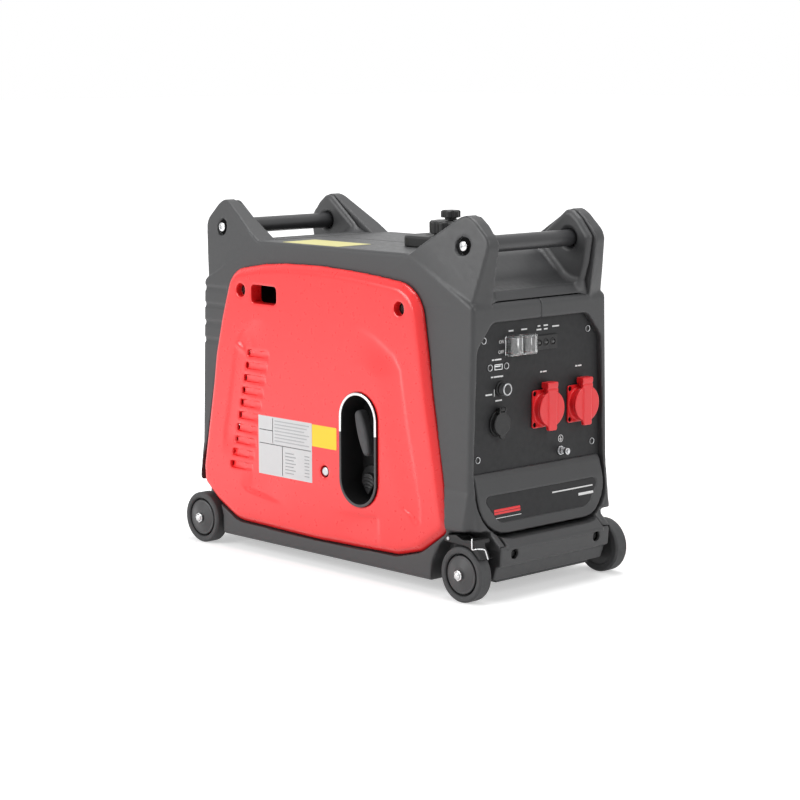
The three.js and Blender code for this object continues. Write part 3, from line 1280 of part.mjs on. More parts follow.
// Stator drum bolted to the engine, with three legs that carry the recoil pulley's pin.
function alternatorHousing() {
  const [near, far] = ALTERNATOR_X;
  const drum = rod("x", ALTERNATOR_RADIUS, near + GAP, far, 0, CRANK_Z, 20);
  const room = rod("x", ALTERNATOR_RADIUS - 6, near + 8, far + 1, 0, CRANK_Z, 20);
  const shaftHole = rod("x", SHAFT_RADIUS + 3, near - 1, near + 10, 0, CRANK_Z, 16);
  const hubEnd = PULLEY_X[1] + 4;
  const legs = [0, 110, 235].map((degrees) => {
    const leg = block([far - 2, hubEnd + 5], [ALTERNATOR_RADIUS - 10, ALTERNATOR_RADIUS - 1], [-8, 8]);
    const arm = block([hubEnd, hubEnd + 5], [0, ALTERNATOR_RADIUS - 1], [-8, 8]);
    const geometry = toGeometry(joined(leg, arm));
    geometry.rotateX(THREE.MathUtils.degToRad(degrees));
    geometry.translate(0, 0, CRANK_Z);
    return toSolid(geometry);
  });
  const centre = rod("x", 20, hubEnd, hubEnd + 5, 0, CRANK_Z, 20);
  const pin = rod("x", 6, PULLEY_X[0] - 1, hubEnd + 1, 0, CRANK_Z, 16);
  const windings = cut(
    rod("x", 58, near + 6, near + 30, 0, CRANK_Z, 20),
    rod("x", 30, near, near + 40, 0, CRANK_Z, 20),
  );
  return joined(cut(drum, room, shaftHole), windings, ...legs, centre, pin);
}

// Crankshaft with the outer rotor and its cooling fan.
function crankRotor() {
  const [near, far] = ALTERNATOR_X;
  const shaft = rod("x", SHAFT_RADIUS, ENGINE_X[1] - 80, far - 6, 0, CRANK_Z, 16);
  const cup = rod("x", ROTOR_RADIUS, near + 14, far - 18, 0, CRANK_Z, 20);
  const room = rod("x", ROTOR_RADIUS - 7, near + 10, far - 26, 0, CRANK_Z, 20);
  const blades = [];
  for (let i = 0; i < 8; i++) {
    const geometry = toGeometry(block([far - 19, far - 4], [28, ROTOR_RADIUS - 2], [-1.5, 1.5]));
    geometry.rotateX((2 * Math.PI * i) / 8);
    geometry.translate(0, 0, CRANK_Z);
    blades.push(toSolid(geometry));
  }
  return joined(cut(cup, room), shaft, ...blades);
}

function recoilPulley() {
  const [near, far] = PULLEY_X;
  const groove = PULLEY_RADIUS - ROPE_RADIUS - GAP;
  const bore = 6 + PLAY / 2;
  return spun(
    "x",
    [
      [bore, near],
      [PULLEY_RADIUS + 3, near],
      [groove, near + 3],
      [groove, far - 3],
      [PULLEY_RADIUS + 3, far],
      [bore, far],
      [bore, near],
    ],
    28,
  );
}

function muffler() {
  const rear = -CAVITY_END_X + 10;
  const front = ENGINE_X[0] - 8;
  const face = roundedBox(0, 210, 84, 62, 26);
  const can = loft("x", [
    { at: rear, points: outline(face, 6) },
    { at: rear + 6, points: outline(face) },
    { at: front - 6, points: outline(face) },
    { at: front, points: outline(face, 6) },
  ]);
  const outlet = rod("x", EXHAUST_RADIUS, -BODY_HALF_LENGTH - 2, rear + 4, EXHAUST_Y, EXHAUST_Z, 24);
  const bore = rod("x", EXHAUST_RADIUS - 2, -BODY_HALF_LENGTH - 3, rear - 1, EXHAUST_Y, EXHAUST_Z, 24);
  const inlet = rod("x", 14, front - 2, EXHAUST_PORT_X - GAP, 0, EXHAUST_PORT_Z, 20);
  const strap = block([ENGINE_X[0] - 14, ENGINE_X[0] - GAP], [-20, 20], [160, 180]);
  return joined(cut(joined(can, outlet), bore), inlet, strap);
}

function inverterModule() {
  const rear = CAVITY_END_X - 88.3;
  const front = CAVITY_END_X - 24.3;
  const bottom = PAN_TOP_Z + 20;
  const top = PANEL_BOTTOM_Z - 20;
  const body = block([rear, front], [-88, 88], [bottom, top]);
  const fins = [];
  for (let y = -84; y <= 84; y += 14) {
    fins.push(block([rear - 12, rear + 1], [y - 1.5, y + 1.5], [bottom + 2, top - 2]));
  }
  const feet = [-70, 70].map((y) => block([rear + 8, front - 8], [y - 12, y + 12], [PAN_TOP_Z + GAP, bottom + 2]));
  return joined(body, ...fins, ...feet);
}

// ---------------------------------------------------------------- assembly

const leftCasing = casingHalf();
addPiece(generator, "left_shell", "casing", cut(leftCasing, brakePin(GAP, -ARCH_INNER_Y + CASING_WALL + 1)));
addPiece(generator, "right_shell", "casing", mirrored(leftCasing, "y"));

for (const [name, end] of [["front", frontEnd], ["rear", rearEnd]]) {
  addPiece(generator, `handle_insert_${name}`, "casing", handleInsert(end));
  addPiece(generator, `handle_bar_${name}`, "trim", gripBar(end));
  addPiece(generator, `handle_bolt_${name}_left`, "steel", gripBolt(end));
  addPiece(generator, `handle_bolt_${name}_right`, "steel", mirrored(gripBolt(end), "y"));
  addPiece(generator, `${name}_bumper`, "casing", bumper(end));
}

addPiece(generator, "service_cover_left", "cover", sideCover(true));
addPiece(generator, "service_cover_right", "cover", mirrored(sideCover(false), "y"));
addPiece(generator, "control_panel", "panel", controlPanel());
addPiece(generator, "front_lower_cover", "casing", lowerCover());
addPiece(generator, "rear_grille", "trim", rearGrille());
addPiece(generator, "base_pan", "darkMetal", basePan());

for (const [end, dir] of [["front", 1], ["rear", -1]]) {
  const axleGroup = addGroup(dir * WHEEL_X, 0, WHEEL_RADIUS);
  addPiece(axleGroup, `axle_${end}`, "steel", axle());
  for (const [side, turn] of [["left", Math.PI], ["right", 0]]) {
    const wheel = new THREE.Group();
    wheel.rotation.z = turn; // the profile's outer face looks along +Y
    axleGroup.add(wheel);
    addPiece(wheel, `tyre_${end}_${side}`, "rubber", tyre());
    addPiece(wheel, `hub_${end}_${side}`, "trim", hub());
  }
}
addPiece(generator, "brake_lever", "trim", brakeLever());
addPiece(generator, "brake_pin", "steel", brakePin(0, -ARCH_INNER_Y + 1));
addPiece(generator, "brake_wire", "steel", brakeWire());

for (const [name, [y, z]] of [["rocker_eco", ROCKERS[0]], ["rocker_engine", ROCKERS[1]]]) {
  const mesh = addPiece(onPanel(y, z), name, "trim", rocker());
  mesh.rotation.y = THREE.MathUtils.degToRad(-ROCKER_REST_DEG);
}
const boot = rockerBoot();
addPiece(onPanel(boot.y, ROCKERS[0][1]), "rocker_boot", "clear", boot.solid);
addPiece(onPanel(INDICATOR_Y, INDICATOR_Z), "indicator_block", "trim", indicatorBlock());
addPiece(onPanel(USB_Y, USB_Z), "usb_port", "trim", usbPort());
addPiece(onPanel(BREAKER_Y, BREAKER_Z), "breaker_button", "steel", breakerButton());
addPiece(onPanel(DC_Y, DC_Z), "dc_socket", "trim", dcSocket());
addPiece(addGroup(PANEL_X + DC_HINGE_X, DC_Y, DC_Z + DC_HINGE_Z), "dc_socket_cap", "rubber", dcCap());
MAINS_YS.forEach((y, i) => {
  addPiece(onPanel(y, MAINS_Z), `mains_socket_${i + 1}`, "socket", mainsSocket());
  addPiece(addGroup(PANEL_X + LID_HINGE_X, y, MAINS_Z + LID_HINGE_Z), `mains_lid_${i + 1}`, "socket", mainsLid());
});
const groundPoint = onPanel(GROUND_Y, GROUND_Z);
addPiece(groundPoint, "ground_stud", "steel", groundStud());
addPiece(groundPoint, "ground_nut", "steel", groundNut());

addPiece(generator, "filler_base", "trim", fillerBase());
addPiece(generator, "fuel_tank", "darkMetal", fuelTank());
const capGroup = addGroup(FILLER_X, 0, 0);
addPiece(capGroup, "fuel_cap_seal", "rubber", capSeal());
addPiece(capGroup, "fuel_cap", "trim", fuelCap());
addPiece(capGroup, "vent_knob", "trim", ventKnob());

addPiece(generator, "starter_bezel", "trim", starterBezel());
const gripMesh = addPiece(addGroup(GRIP_X, GRIP_FACE_Y, GRIP_Z), "starter_grip", "rubber", starterGrip());
gripMesh.rotation.y = THREE.MathUtils.degToRad(-GRIP_TILT_DEG);
addPiece(generator, "starter_rope", "rope", starterRope());
addPiece(addGroup(DIAL_X, STARTER_FLOOR_Y, DIAL_Z), "choke_dial", "trim", chokeDial());

addPiece(generator, "engine_block", "castMetal", engineBlock());
addPiece(generator, "alternator_housing", "castMetal", alternatorHousing());
addPiece(generator, "crank_rotor", "steel", crankRotor());
const pulleyGroup = addGroup(0, 0, CRANK_Z);
addPiece(pulleyGroup, "recoil_pulley", "trim", recoilPulley());
addPiece(generator, "muffler", "darkMetal", muffler());
addPiece(generator, "inverter_module", "castMetal", inverterModule());

export default generator;
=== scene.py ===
# %% [markdown]
# # A portable inverter generator
#
# This lesson dresses a measured model of a small petrol generator. The engineering model is already
# in place and says where everything is and what moves. Here each plain solid gets the rounded
# edges, seams and finishes that the moulded, turned and stamped pieces of the real machine have.
#
# Making functions work in millimetres and write their meshes in metres.
# X points at the control panel, -Y at the side with the starter, and Z up.

# %% The frame
import math
from contextlib import contextmanager

import bmesh
import bpy
import numpy as np
from mathutils import Matrix, Vector


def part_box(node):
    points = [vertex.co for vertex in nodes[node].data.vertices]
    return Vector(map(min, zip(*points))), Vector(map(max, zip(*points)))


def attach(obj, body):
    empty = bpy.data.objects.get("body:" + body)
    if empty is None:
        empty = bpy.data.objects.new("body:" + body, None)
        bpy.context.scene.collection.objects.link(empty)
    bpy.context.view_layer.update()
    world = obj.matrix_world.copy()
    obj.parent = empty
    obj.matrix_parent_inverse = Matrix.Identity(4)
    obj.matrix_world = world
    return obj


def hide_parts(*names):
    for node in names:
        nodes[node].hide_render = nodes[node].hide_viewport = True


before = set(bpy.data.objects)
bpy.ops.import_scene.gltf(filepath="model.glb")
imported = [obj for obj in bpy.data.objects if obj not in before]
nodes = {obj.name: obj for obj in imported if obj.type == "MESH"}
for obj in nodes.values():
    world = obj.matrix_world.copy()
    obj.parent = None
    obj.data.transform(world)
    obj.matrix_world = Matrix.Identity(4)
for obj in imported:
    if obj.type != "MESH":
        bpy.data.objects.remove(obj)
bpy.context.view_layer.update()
MM = 0.001


def place_of(node):
    """The lowest and highest corners of a piece of the frame, in millimetres."""
    low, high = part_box(node)
    return np.array(low) / MM, np.array(high) / MM


# %% [markdown]
# ## Camera
#
# A product shot is taken with a long lens from a little above the machine, so that upright lines
# stay nearly parallel. The camera needs only its place, two angles and the length of its lens.

# %% The camera
CAMERA_PLACE = (2.2779, -2.1738, 0.6875)
CAMERA_TURN, CAMERA_DIP, CAMERA_ROLL = 46.3, 8.46, -0.12
CAMERA_LENS = 103.45

scene = bpy.context.scene
scene.view_settings.view_transform = "Standard"


def in_scene(name, data):
    """A new object that shows its data in the scene."""
    obj = bpy.data.objects.new(name, data)
    scene.collection.objects.link(obj)
    return obj


camera_data = bpy.data.cameras.new("camera")
camera_data.lens = CAMERA_LENS
camera_data.sensor_width = 36
camera_data.clip_end = 50
camera = in_scene("camera", camera_data)
turn, dip = math.radians(CAMERA_TURN), math.radians(CAMERA_DIP)
ahead = Vector((-math.sin(turn) * math.cos(dip), math.cos(turn) * math.cos(dip), -math.sin(dip)))
camera.rotation_euler = (
    ahead.to_track_quat("-Z", "Y").to_matrix() @ Matrix.Rotation(math.radians(CAMERA_ROLL), 3, "Z")
).to_euler()
camera.location = CAMERA_PLACE
scene.camera = camera
print("camera at", CAMERA_PLACE, "lens", CAMERA_LENS)

# %% [markdown]
# ## Finishes
#
# Nearly everything here is moulded plastic, and what tells one plastic from another is its grain:
# the casing has the fine sand-like texture of an etched mould, the red covers are smooth and
# glossy, and rubber is dull and dusty. One function builds them all, with a fine grain, a slow
# change of tone, a roughness that varies and a bump from the same grain. Patterns read Object
# coordinates, which are metres here, so a grain keeps its real size everywhere.

# %% A finish from noise
PATCH_MM, MOTTLE_MM = 60, 7


def noise(tree, size_mm, detail=3, stretch=(1, 1, 1)):
    """A noise whose grains are about size_mm across."""
    place = tree.nodes.new("ShaderNodeTexCoord")
    mapping = tree.nodes.new("ShaderNodeMapping")
    mapping.inputs["Scale"].default_value = [1 / (size_mm * MM) * s for s in stretch]
    texture = tree.nodes.new("ShaderNodeTexNoise")
    texture.inputs["Scale"].default_value = 1
    texture.inputs["Detail"].default_value = detail
    tree.links.new(place.outputs["Object"], mapping.inputs["Vector"])
    tree.links.new(mapping.outputs["Vector"], texture.inputs["Vector"])
    return texture.outputs["Fac"]


def spread(tree, value, low, high):
    """The middle of a noise, 0.3 to 0.7, moved to the range low to high."""
    node = tree.nodes.new("ShaderNodeMapRange")
    for name, number in zip(("From Min", "From Max", "To Min", "To Max"), (0.3, 0.7, low, high)):
        node.inputs[name].default_value = number
    tree.links.new(value, node.inputs["Value"])
    return node.outputs["Result"]


def math_node(tree, operation, first, second=None):
    node = tree.nodes.new("ShaderNodeMath")
    node.operation = operation
    for number, value in enumerate((first, second)):
        if value is None:
            continue
        if isinstance(value, (int, float)):
            node.inputs[number].default_value = value
        else:
            tree.links.new(value, node.inputs[number])
    return node.outputs[0]


def shade(colour, factor):
    return [min(1, c * factor) for c in colour] + [1]


def finish(
    name, colour, rough, tone=0.06, grain=0.6, bump=0.05, metal=0, coat=0, stretch=(1, 1, 1),
    specular=0.5
):
    """A material with grain, slow patches of tone and a varying roughness; colour is linear."""
    material = bpy.data.materials.new(name)
    material.use_nodes = True
    tree = material.node_tree
    shader = tree.nodes["Principled BSDF"]
    fine = noise(tree, grain, 2, stretch)
    slow = noise(tree, PATCH_MM, 3)
    middle = noise(tree, MOTTLE_MM, 4, stretch)
    mix = tree.nodes.new("ShaderNodeMix")
    mix.data_type = "RGBA"
    mix.inputs["A"].default_value = shade(colour, 1 - tone)
    mix.inputs["B"].default_value = shade(colour, 1 + tone)
    blend = math_node(tree, "ADD", spread(tree, slow, 0, 0.6), spread(tree, fine, 0, 0.4))
    tree.links.new(blend, mix.inputs["Factor"])
    tree.links.new(mix.outputs["Result"], shader.inputs["Base Color"])
    tree.links.new(spread(tree, middle, rough * 0.88, min(1, rough * 1.12)), shader.inputs["Roughness"])
    if bump:
        lift = tree.nodes.new("ShaderNodeBump")
        lift.inputs["Strength"].default_value = 0.6
        lift.inputs["Distance"].default_value = bump * MM
        tree.links.new(fine, lift.inputs["Height"])
        tree.links.new(lift.outputs["Normal"], shader.inputs["Normal"])
    shader.inputs["Metallic"].default_value = metal
    shader.inputs["Specular IOR Level"].default_value = specular
    shader.inputs["Coat Weight"].default_value = coat
    shader.inputs["Coat Roughness"].default_value = 0.15
    return material


def clear_plastic(name, tint, rough):
    """See-through plastic: little colour, a faint haze and fine scratches."""
    material = finish(name, tint, rough, tone=0.03, grain=2, bump=0.01)
    shader = material.node_tree.nodes["Principled BSDF"]
    shader.inputs["Transmission Weight"].default_value = 0.96
    shader.inputs["IOR"].default_value = 1.45
    return material


casing_plastic = finish("casing_plastic", (0.043, 0.0435, 0.045), 0.44, 0.05, 0.45, 0.05, specular=0.42)
black_plastic = finish("black_plastic", (0.010, 0.010, 0.0105), 0.45, 0.08, 0.5, 0.03, specular=0.35)
bar_plastic = finish("bar_plastic", (0.030, 0.030, 0.032), 0.38, 0.08, 0.5, 0.03)
cover_red = finish("cover_red", (0.86, 0.020, 0.022), 0.30, 0.03, 1.6, 0.012, coat=0.25)
socket_red = finish("socket_red", (0.80, 0.016, 0.022), 0.34, 0.04, 0.8, 0.012, coat=0.1)
panel_paint = finish("panel_paint", (0.022, 0.0222, 0.0232), 0.55, 0.06, 0.35, 0.02, specular=0.22)
hub_plastic = finish("hub_plastic", (0.036, 0.0365, 0.038), 0.36, 0.08, 0.6, 0.03)
tyre_rubber = finish("tyre_rubber", (0.048, 0.0485, 0.050), 0.62, 0.12, 0.9, 0.05, specular=0.4)
soft_rubber = finish("soft_rubber", (0.068, 0.068, 0.071), 0.68, 0.08, 0.7, 0.04, specular=0.35)
chrome = finish("chrome", (0.60, 0.605, 0.61), 0.18, 0.02, 1.5, 0.004, metal=1)
zinc_steel = finish("zinc_steel", (0.46, 0.465, 0.475), 0.34, 0.08, 0.6, 0.01, metal=1)
cast_alloy = finish("cast_alloy", (0.36, 0.37, 0.38), 0.55, 0.10, 1.1, 0.10, metal=1)
exhaust_steel = finish("exhaust_steel", (0.22, 0.20, 0.18), 0.55, 0.22, 2.0, 0.05, metal=1)
tank_plastic = finish("tank_plastic", (0.030, 0.031, 0.033), 0.55, 0.08, 1.2, 0.04)
braided_rope = finish("braided_rope", (0.42, 0.40, 0.34), 0.8, 0.25, 0.5, 0.15, stretch=(1, 0.4, 1))
white_print = finish("white_print", (0.80, 0.80, 0.80), 0.5, 0.03, 0.8, 0.005)
grey_print = finish("grey_print", (0.40, 0.41, 0.42), 0.5, 0.05, 0.8, 0.005)
silver_label = finish("silver_label", (0.60, 0.605, 0.61), 0.42, 0.04, 0.5, 0.008, stretch=(1, 1, 8))
yellow_label = finish("yellow_label", (0.90, 0.60, 0.02), 0.4, 0.03, 0.8, 0.006)
deck_label = finish("deck_label", (0.60, 0.56, 0.22), 0.45, 0.04, 0.8, 0.006)
boot_clear = clear_plastic("boot_clear", (0.97, 0.98, 0.98), 0.05)
# This near-black, nearly matt finish is painted shade: discs of it lie on the floors of holes and
# wells, which only shade makes dark. Under the handle bolts it is also a black washer.
deep_black = finish("deep_black", (0.002, 0.002, 0.002), 0.8, 0.1, 0.8, 0.02, specular=0.1)
lamp_lens = finish("lamp_lens", (0.012, 0.012, 0.013), 0.12, 0.05, 1.2, 0.0, coat=0.5)
print("finishes:", len(bpy.data.materials))

# %% [markdown]
# ## Sculpting with distances
#
# A moulded casing is soft everywhere: every edge has a radius, and the radii change along the edge.
# Bevelling such a mesh by hand goes wrong where three soft edges meet. Another way is to describe
# the solid by a number at each point in space: how far the point is outside the surface, negative
# inside. Two solids are joined with a minimum and cut with a maximum, and a rounded maximum gives
# the radius of the edge directly. This section has the few functions that this needs.

# %% Rounded corners of an outline
def rounded(corners, steps=6):
    """Corners (u, v, radius) as a fine outline of points."""
    points = []
    count = len(corners)
    for i, (u, v, radius) in enumerate(corners):
        here = np.array((u, v), float)
        if radius <= 0:
            points.append(here)
            continue
        before = np.array(corners[i - 1][:2], float) - here
        after = np.array(corners[(i + 1) % count][:2], float) - here
        before /= np.hypot(*before)
        after /= np.hypot(*after)
        half = math.acos(max(-1, min(1, before @ after))) / 2
        reach = radius / math.tan(half)
        centre = here + (before + after) / np.hypot(*(before + after)) * radius / math.sin(half)
        start, stop = here + before * reach - centre, here + after * reach - centre
        sweep = math.atan2(start[0] * stop[1] - start[1] * stop[0], start @ stop)
        for k in range(steps + 1):
            angle = sweep * k / steps
            c, s = math.cos(angle), math.sin(angle)
            points.append(centre + (start[0] * c - start[1] * s, start[0] * s + start[1] * c))
    return np.array(points)


# %% Distances
def distance(u, v, outline):
    """How far (u, v) lies outside a closed outline; negative inside."""
    u, v = np.broadcast_arrays(np.asarray(u, np.float32), np.asarray(v, np.float32))
    nearest = np.full(u.shape, 1e9, np.float32)
    inside = np.zeros(u.shape, bool)
    for (au, av), (bu, bv) in zip(outline, np.roll(outline, -1, axis=0)):
        du, dv = bu - au, bv - av
        length = du * du + dv * dv
        if length < 1e-9:
            continue
        share = np.clip(((u - au) * du + (v - av) * dv) / length, 0, 1)
        nearest = np.minimum(nearest, (u - au - share * du) ** 2 + (v - av - share * dv) ** 2)
        if av != bv:
            inside ^= ((av <= v) != (bv <= v)) & (u < au + (v - av) * du / dv)
    far = np.sqrt(nearest)
    return np.where(inside, -far, far)


def shape(u, v, corners, steps=6):
    return distance(u, v, rounded(corners, steps))


def both(a, b, radius=0.0):
    """Inside a and b, with their common edge rounded."""
    return np.minimum(np.maximum(a, b), -radius) + np.hypot(
        np.maximum(a + radius, 0), np.maximum(b + radius, 0)
    )


def either(a, b, radius=0.0):
    """Inside a or b, with a fillet where they meet."""
    return -both(-a, -b, radius)


def less(a, b, radius=0.0):
    """Inside a and outside b."""
    return both(a, -b, radius)


def between(value, low, high):
    return np.maximum(low - value, value - high)


# %% [markdown]
# A surface is read from the numbers with surface nets: every cell of a grid that the surface
# crosses gets one point, and every grid edge that it crosses gets one square. Two steps along the
# slope then put the points very near the surface. Flat areas end up with far more faces than they
# need, so a Decimate modifier thins the larger meshes. The red covers and small pieces keep all
# their faces. An edge beside a sliver is never taken for a sharp one, and weighted normals keep
# flat areas flat.

# %% From distances to a mesh
SLIVER = 0.05  # square millimetres
SMALL = 5000  # squares; a mesh with fewer isn't thinned


def sample(field, places):
    """The field between grid points."""
    base = np.clip(places.astype(np.int32), 0, np.array(field.shape) - 2)
    share = (places - base).astype(np.float32)
    total = np.zeros(len(places), np.float32)
    for corner in np.ndindex(2, 2, 2):
        weight = np.prod(np.where(corner, share, 1 - share), axis=1)
        i, j, k = (base + corner).T
        total += weight * field[i, j, k]
    return total


def surface_net(field):
    """Points, in grid units, and squares of the surface where the field is zero."""
    inside = field < 0
    n = np.array(field.shape) - 1
    count = np.zeros(n, np.int8)
    for i, j, k in np.ndindex(2, 2, 2):
        count += inside[i : n[0] + i, j : n[1] + j, k : n[2] + k]
    mixed = (count > 0) & (count < 8)
    cells = np.argwhere(mixed)
    index = np.full(n, -1, np.int32)
    index[mixed] = np.arange(len(cells))
    total = np.zeros((len(cells), 3), np.float32)
    crossings = np.zeros((len(cells), 1), np.float32)
    for axis in range(3):
        step = np.eye(3, dtype=int)[axis]
        for i, j in np.ndindex(2, 2):
            offset = np.zeros(3, int)
            offset[(axis + 1) % 3], offset[(axis + 2) % 3] = i, j
            a = field[tuple((cells + offset).T)]
            b = field[tuple((cells + offset + step).T)]
            crossed = (a < 0) != (b < 0)
            share = np.where(crossed, a / np.where(crossed, a - b, 1), 0)
            total += crossed[:, None] * (offset + share[:, None] * step)
            crossings += crossed[:, None]
    points = cells + total / crossings
    squares = []
    for axis in range(3):
        step = np.eye(3, dtype=int)[axis]
        u, v = np.eye(3, dtype=int)[(axis + 1) % 3], np.eye(3, dtype=int)[(axis + 2) % 3]
        low = inside[tuple(slice(0, s - d) for s, d in zip(inside.shape, step))]
        high = inside[tuple(slice(d, s) for s, d in zip(inside.shape, step))]
        edges = np.argwhere(low != high)
        square = np.stack([index[tuple((edges - d).T)] for d in (u + v, v, 0 * u, u)], axis=1)
        flip = ~low[tuple(edges.T)]
        square[flip] = square[flip][:, ::-1]
        squares.append(square)
    for _ in range(2):
        value = sample(field, points)
        slope = np.stack(
            [sample(field, points + 0.5 * e) - sample(field, points - 0.5 * e) for e in np.eye(3)],
            axis=1
        )
        move = -value[:, None] * slope / np.maximum((slope**2).sum(1, keepdims=True), 1e-6)
        points = points + np.clip(move, -0.6, 0.6)
    return points, np.concatenate(squares)


def add_mesh(name, points_mm, faces, material):
    """A new object with one material, from points in millimetres."""
    mesh = bpy.data.meshes.new(name)
    mesh.from_pydata((np.asarray(points_mm) * MM).tolist(), [], [list(map(int, f)) for f in faces])
    mesh.materials.append(material)
    mesh.validate()
    return in_scene(name, mesh)


def apply_modifiers(obj):
    """The object's mesh as its modifiers leave it, and the modifiers gone."""
    depsgraph = bpy.context.evaluated_depsgraph_get()
    done = bpy.data.meshes.new_from_object(obj.evaluated_get(depsgraph))
    old = obj.data
    obj.modifiers.clear()
    obj.data = done
    done.name = obj.name
    bpy.data.meshes.remove(old)
    return obj


@contextmanager
def edited(mesh):
    """The mesh as a bmesh for a while; its changes are kept."""
    work = bmesh.new()
    work.from_mesh(mesh)
    yield work
    work.to_mesh(mesh)
    work.free()


def smooth(obj, sharp_degrees=38, keep=1.0):
    """Thin the mesh, then shade it smoothly, with steep edges between real faces sharp."""
    if keep < 1:
        thin = obj.modifiers.new("thin", "DECIMATE")
        thin.ratio = keep
        apply_modifiers(obj)
    with edited(obj.data) as work:
        if keep < 1:
            bmesh.ops.dissolve_degenerate(work, edges=work.edges, dist=0.03 * MM)
        sliver = SLIVER * MM * MM if keep < 1 else 0
        for face in work.faces:
            face.smooth = True
        for edge in work.edges:
            if len(edge.link_faces) == 2 and edge.calc_face_angle(0) > math.radians(sharp_degrees):
                edge.smooth = min(face.calc_area() for face in edge.link_faces) < sliver
            else:
                edge.smooth = True
    weighted = obj.modifiers.new("weighted", "WEIGHTED_NORMAL")
    weighted.keep_sharp = True
    return apply_modifiers(obj)


def carve(name, low, high, cell, field, material, keep=0.3):
    """The solid of a distance function inside a box, all in millimetres."""
    axes = [np.arange(a - 2 * cell, b + 2.01 * cell, cell, dtype=np.float32) for a, b in zip(low, high)]
    x, y, z = axes[0][:, None, None], axes[1][None, :, None], axes[2][None, None, :]
    values = np.broadcast_to(field(x, y, z), tuple(map(len, axes))).astype(np.float32) / cell
    for axis in range(3):
        side = [slice(None)] * 3
        for end in (0, -1):
            side[axis] = end
            values[tuple(side)] = np.maximum(values[tuple(side)], 0.5)
    points, squares = surface_net(values)
    points = points * cell + np.array([a[0] for a in axes])
    obj = smooth(add_mesh(name, points, squares, material), keep=1 if len(squares) < SMALL else keep)
    print(f"{name}: {len(obj.data.polygons)} faces")
    return obj


def mirrored(obj, name, axis):
    """A copy on the other side, with its faces turned back outwards."""
    mesh = obj.data.copy()
    mesh.transform(Matrix.Scale(-1, 4, [float(axis == a) for a in "xyz"]))
    mesh.flip_normals()
    mesh.name = name
    copy = in_scene(name, mesh)
    return smooth(copy)


def to_the_rear(obj):
    """The object itself mirrored to the other end."""
    obj.data.transform(Matrix.Scale(-1, 4, (1, 0, 0)))
    obj.data.flip_normals()
    return smooth(obj)


def settle(obj, body, slot, *replaced):
    """Put a finished piece on its body, in place of the plain solids that it stands for."""
    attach(obj, body)
    if replaced:
        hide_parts(*replaced)
    return obj


# %% [markdown]
# ## The casing
#
# Two big mouldings meet in the middle plane. Each has a nearly flat side with a little draft,
# sloping shoulders, two ears for the handle bars, arches over the wheels and openings in its ends.
# One half is sculpted and the other is its mirror image. The engineering model gives the box that
# it fills; the numbers below are the corners of its outlines.

# %% Sizes of the casing
CASING_LOW, CASING_HIGH = place_of("left_shell")
END_X, SIDE_Y, DECK_Z, BOTTOM_Z = 268.3, 132.3, 438.5, 18.0
EAR_TOP, EAR_TOP_A, EAR_SPLIT, EAR_IN = 493.0, 105.0, 91.0, 82.5
BAR_END, BAR_Z, BOLT_A = 239.0, 452.5, 115.4
WHEEL_X, WHEEL_Z = 261.6, 36.2
WALL = 6.0
FILLER = (102.0, 0.0)
DRAFT, DRAFT_Z = 0.0265, 150
SHOULDER_X, SHOULDER_SLOPE, SHOULDER_LENGTH = 154, 0.53, 1.132
FENDER_SLOPE, FENDER_Z, FENDER_Y = 0.30, 127, 139.4
COVER_SEAT, PAST_HOLE = 125.6, 110
liner_outline = [
    (172, 438.7, 0), (183, 451, 6), (232, 489.8, 8), (244, 489, 6), (257, 479, 8), (275.8, 456, 9),
    (270, 422, 10), (262.5, 398, 4), (262.5, 380, 0), (200, 420, 0), (181, 436, 0),
]
front_arch = [
    (200, 0, 0), (203, 44, 30), (217, 70, 20), (236, 86, 18), (262, 91, 0), (330, 91, 0), (330, 0, 0)
]
rear_arch = [
    (219, 0, 0), (221, 44, 30), (232, 70, 18), (248, 86, 14), (268, 91, 0), (330, 91, 0), (330, 0, 0)
]
front_window = [
    (-123.5, 80, 50), (123.5, 80, 50), (123.5, 162, 0), (117.5, 322, 16), (90, 355, 16),
    (-90, 355, 16), (-117.5, 322, 16), (-123.5, 162, 0),
]
side_cover_outline = [
    (-188, 41.5, 60), (-232, 63.5, 30), (-262.5, 87, 16), (-264.2, 112, 20), (-240.5, 235.9, 0),
    (-234.4, 276.4, 60), (-219.8, 331.4, 80), (-198, 396.5, 38), (-130.8, 407.9, 60),
    (-83.8, 411.6, 60), (-13.5, 412.6, 80), (51.2, 409.8, 80), (94.3, 406.7, 60), (176.5, 398.5, 50),
    (192.2, 303.9, 80), (200, 254, 0), (212.8, 190.5, 0), (220.4, 148.3, 0), (231, 87, 18),
    (182, 53, 40), (138, 41.3, 60), (-24, 38, 0),
]
REAR_OPENING = (0, 240, 86.0, 90.0)
trough_cut = [
    (150, 520, 0), (150, 438, 0), (180.6, 425, 0), (255, 378, 0), (262.5, 380.5, 0), (284, 380.5, 0),
    (284, 520, 0)
]


def inset_box(middle_u, middle_v, half_u, half_v, radius):
    """Corners of an upright rounded rectangle."""
    return [
        (middle_u + a * half_u, middle_v + b * half_v, radius) for a,
        b in ((-1, -1), (1, -1), (1, 1), (-1, 1))
    ]


def rectangle(u0, u1, v0, v1):
    return [(u0, v0), (u1, v0), (u1, v1), (u0, v1)]


# %% The casing's field
def ear_profile(end, a, z):
    """An ear seen from the side; its end face leans more at the outside than at the inside."""
    share = np.clip((a - EAR_IN) / 38, 0, 1.1)
    slope = (z - EAR_TOP - 0.640 * (end - 236)) / 1.187
    top = (z - EAR_TOP + 0.208 * (end - 236)) / 1.021
    down = (z - 490.5 + 0.922 * (end - 248)) / 1.360
    lean = 0.14 + 0.075 * share
    face = (end - 282.3 + 1.8 * share + lean * (461 - z)) / np.hypot(1, lean)
    return both(both(slope, top, 8), both(down, face, 9), 7)


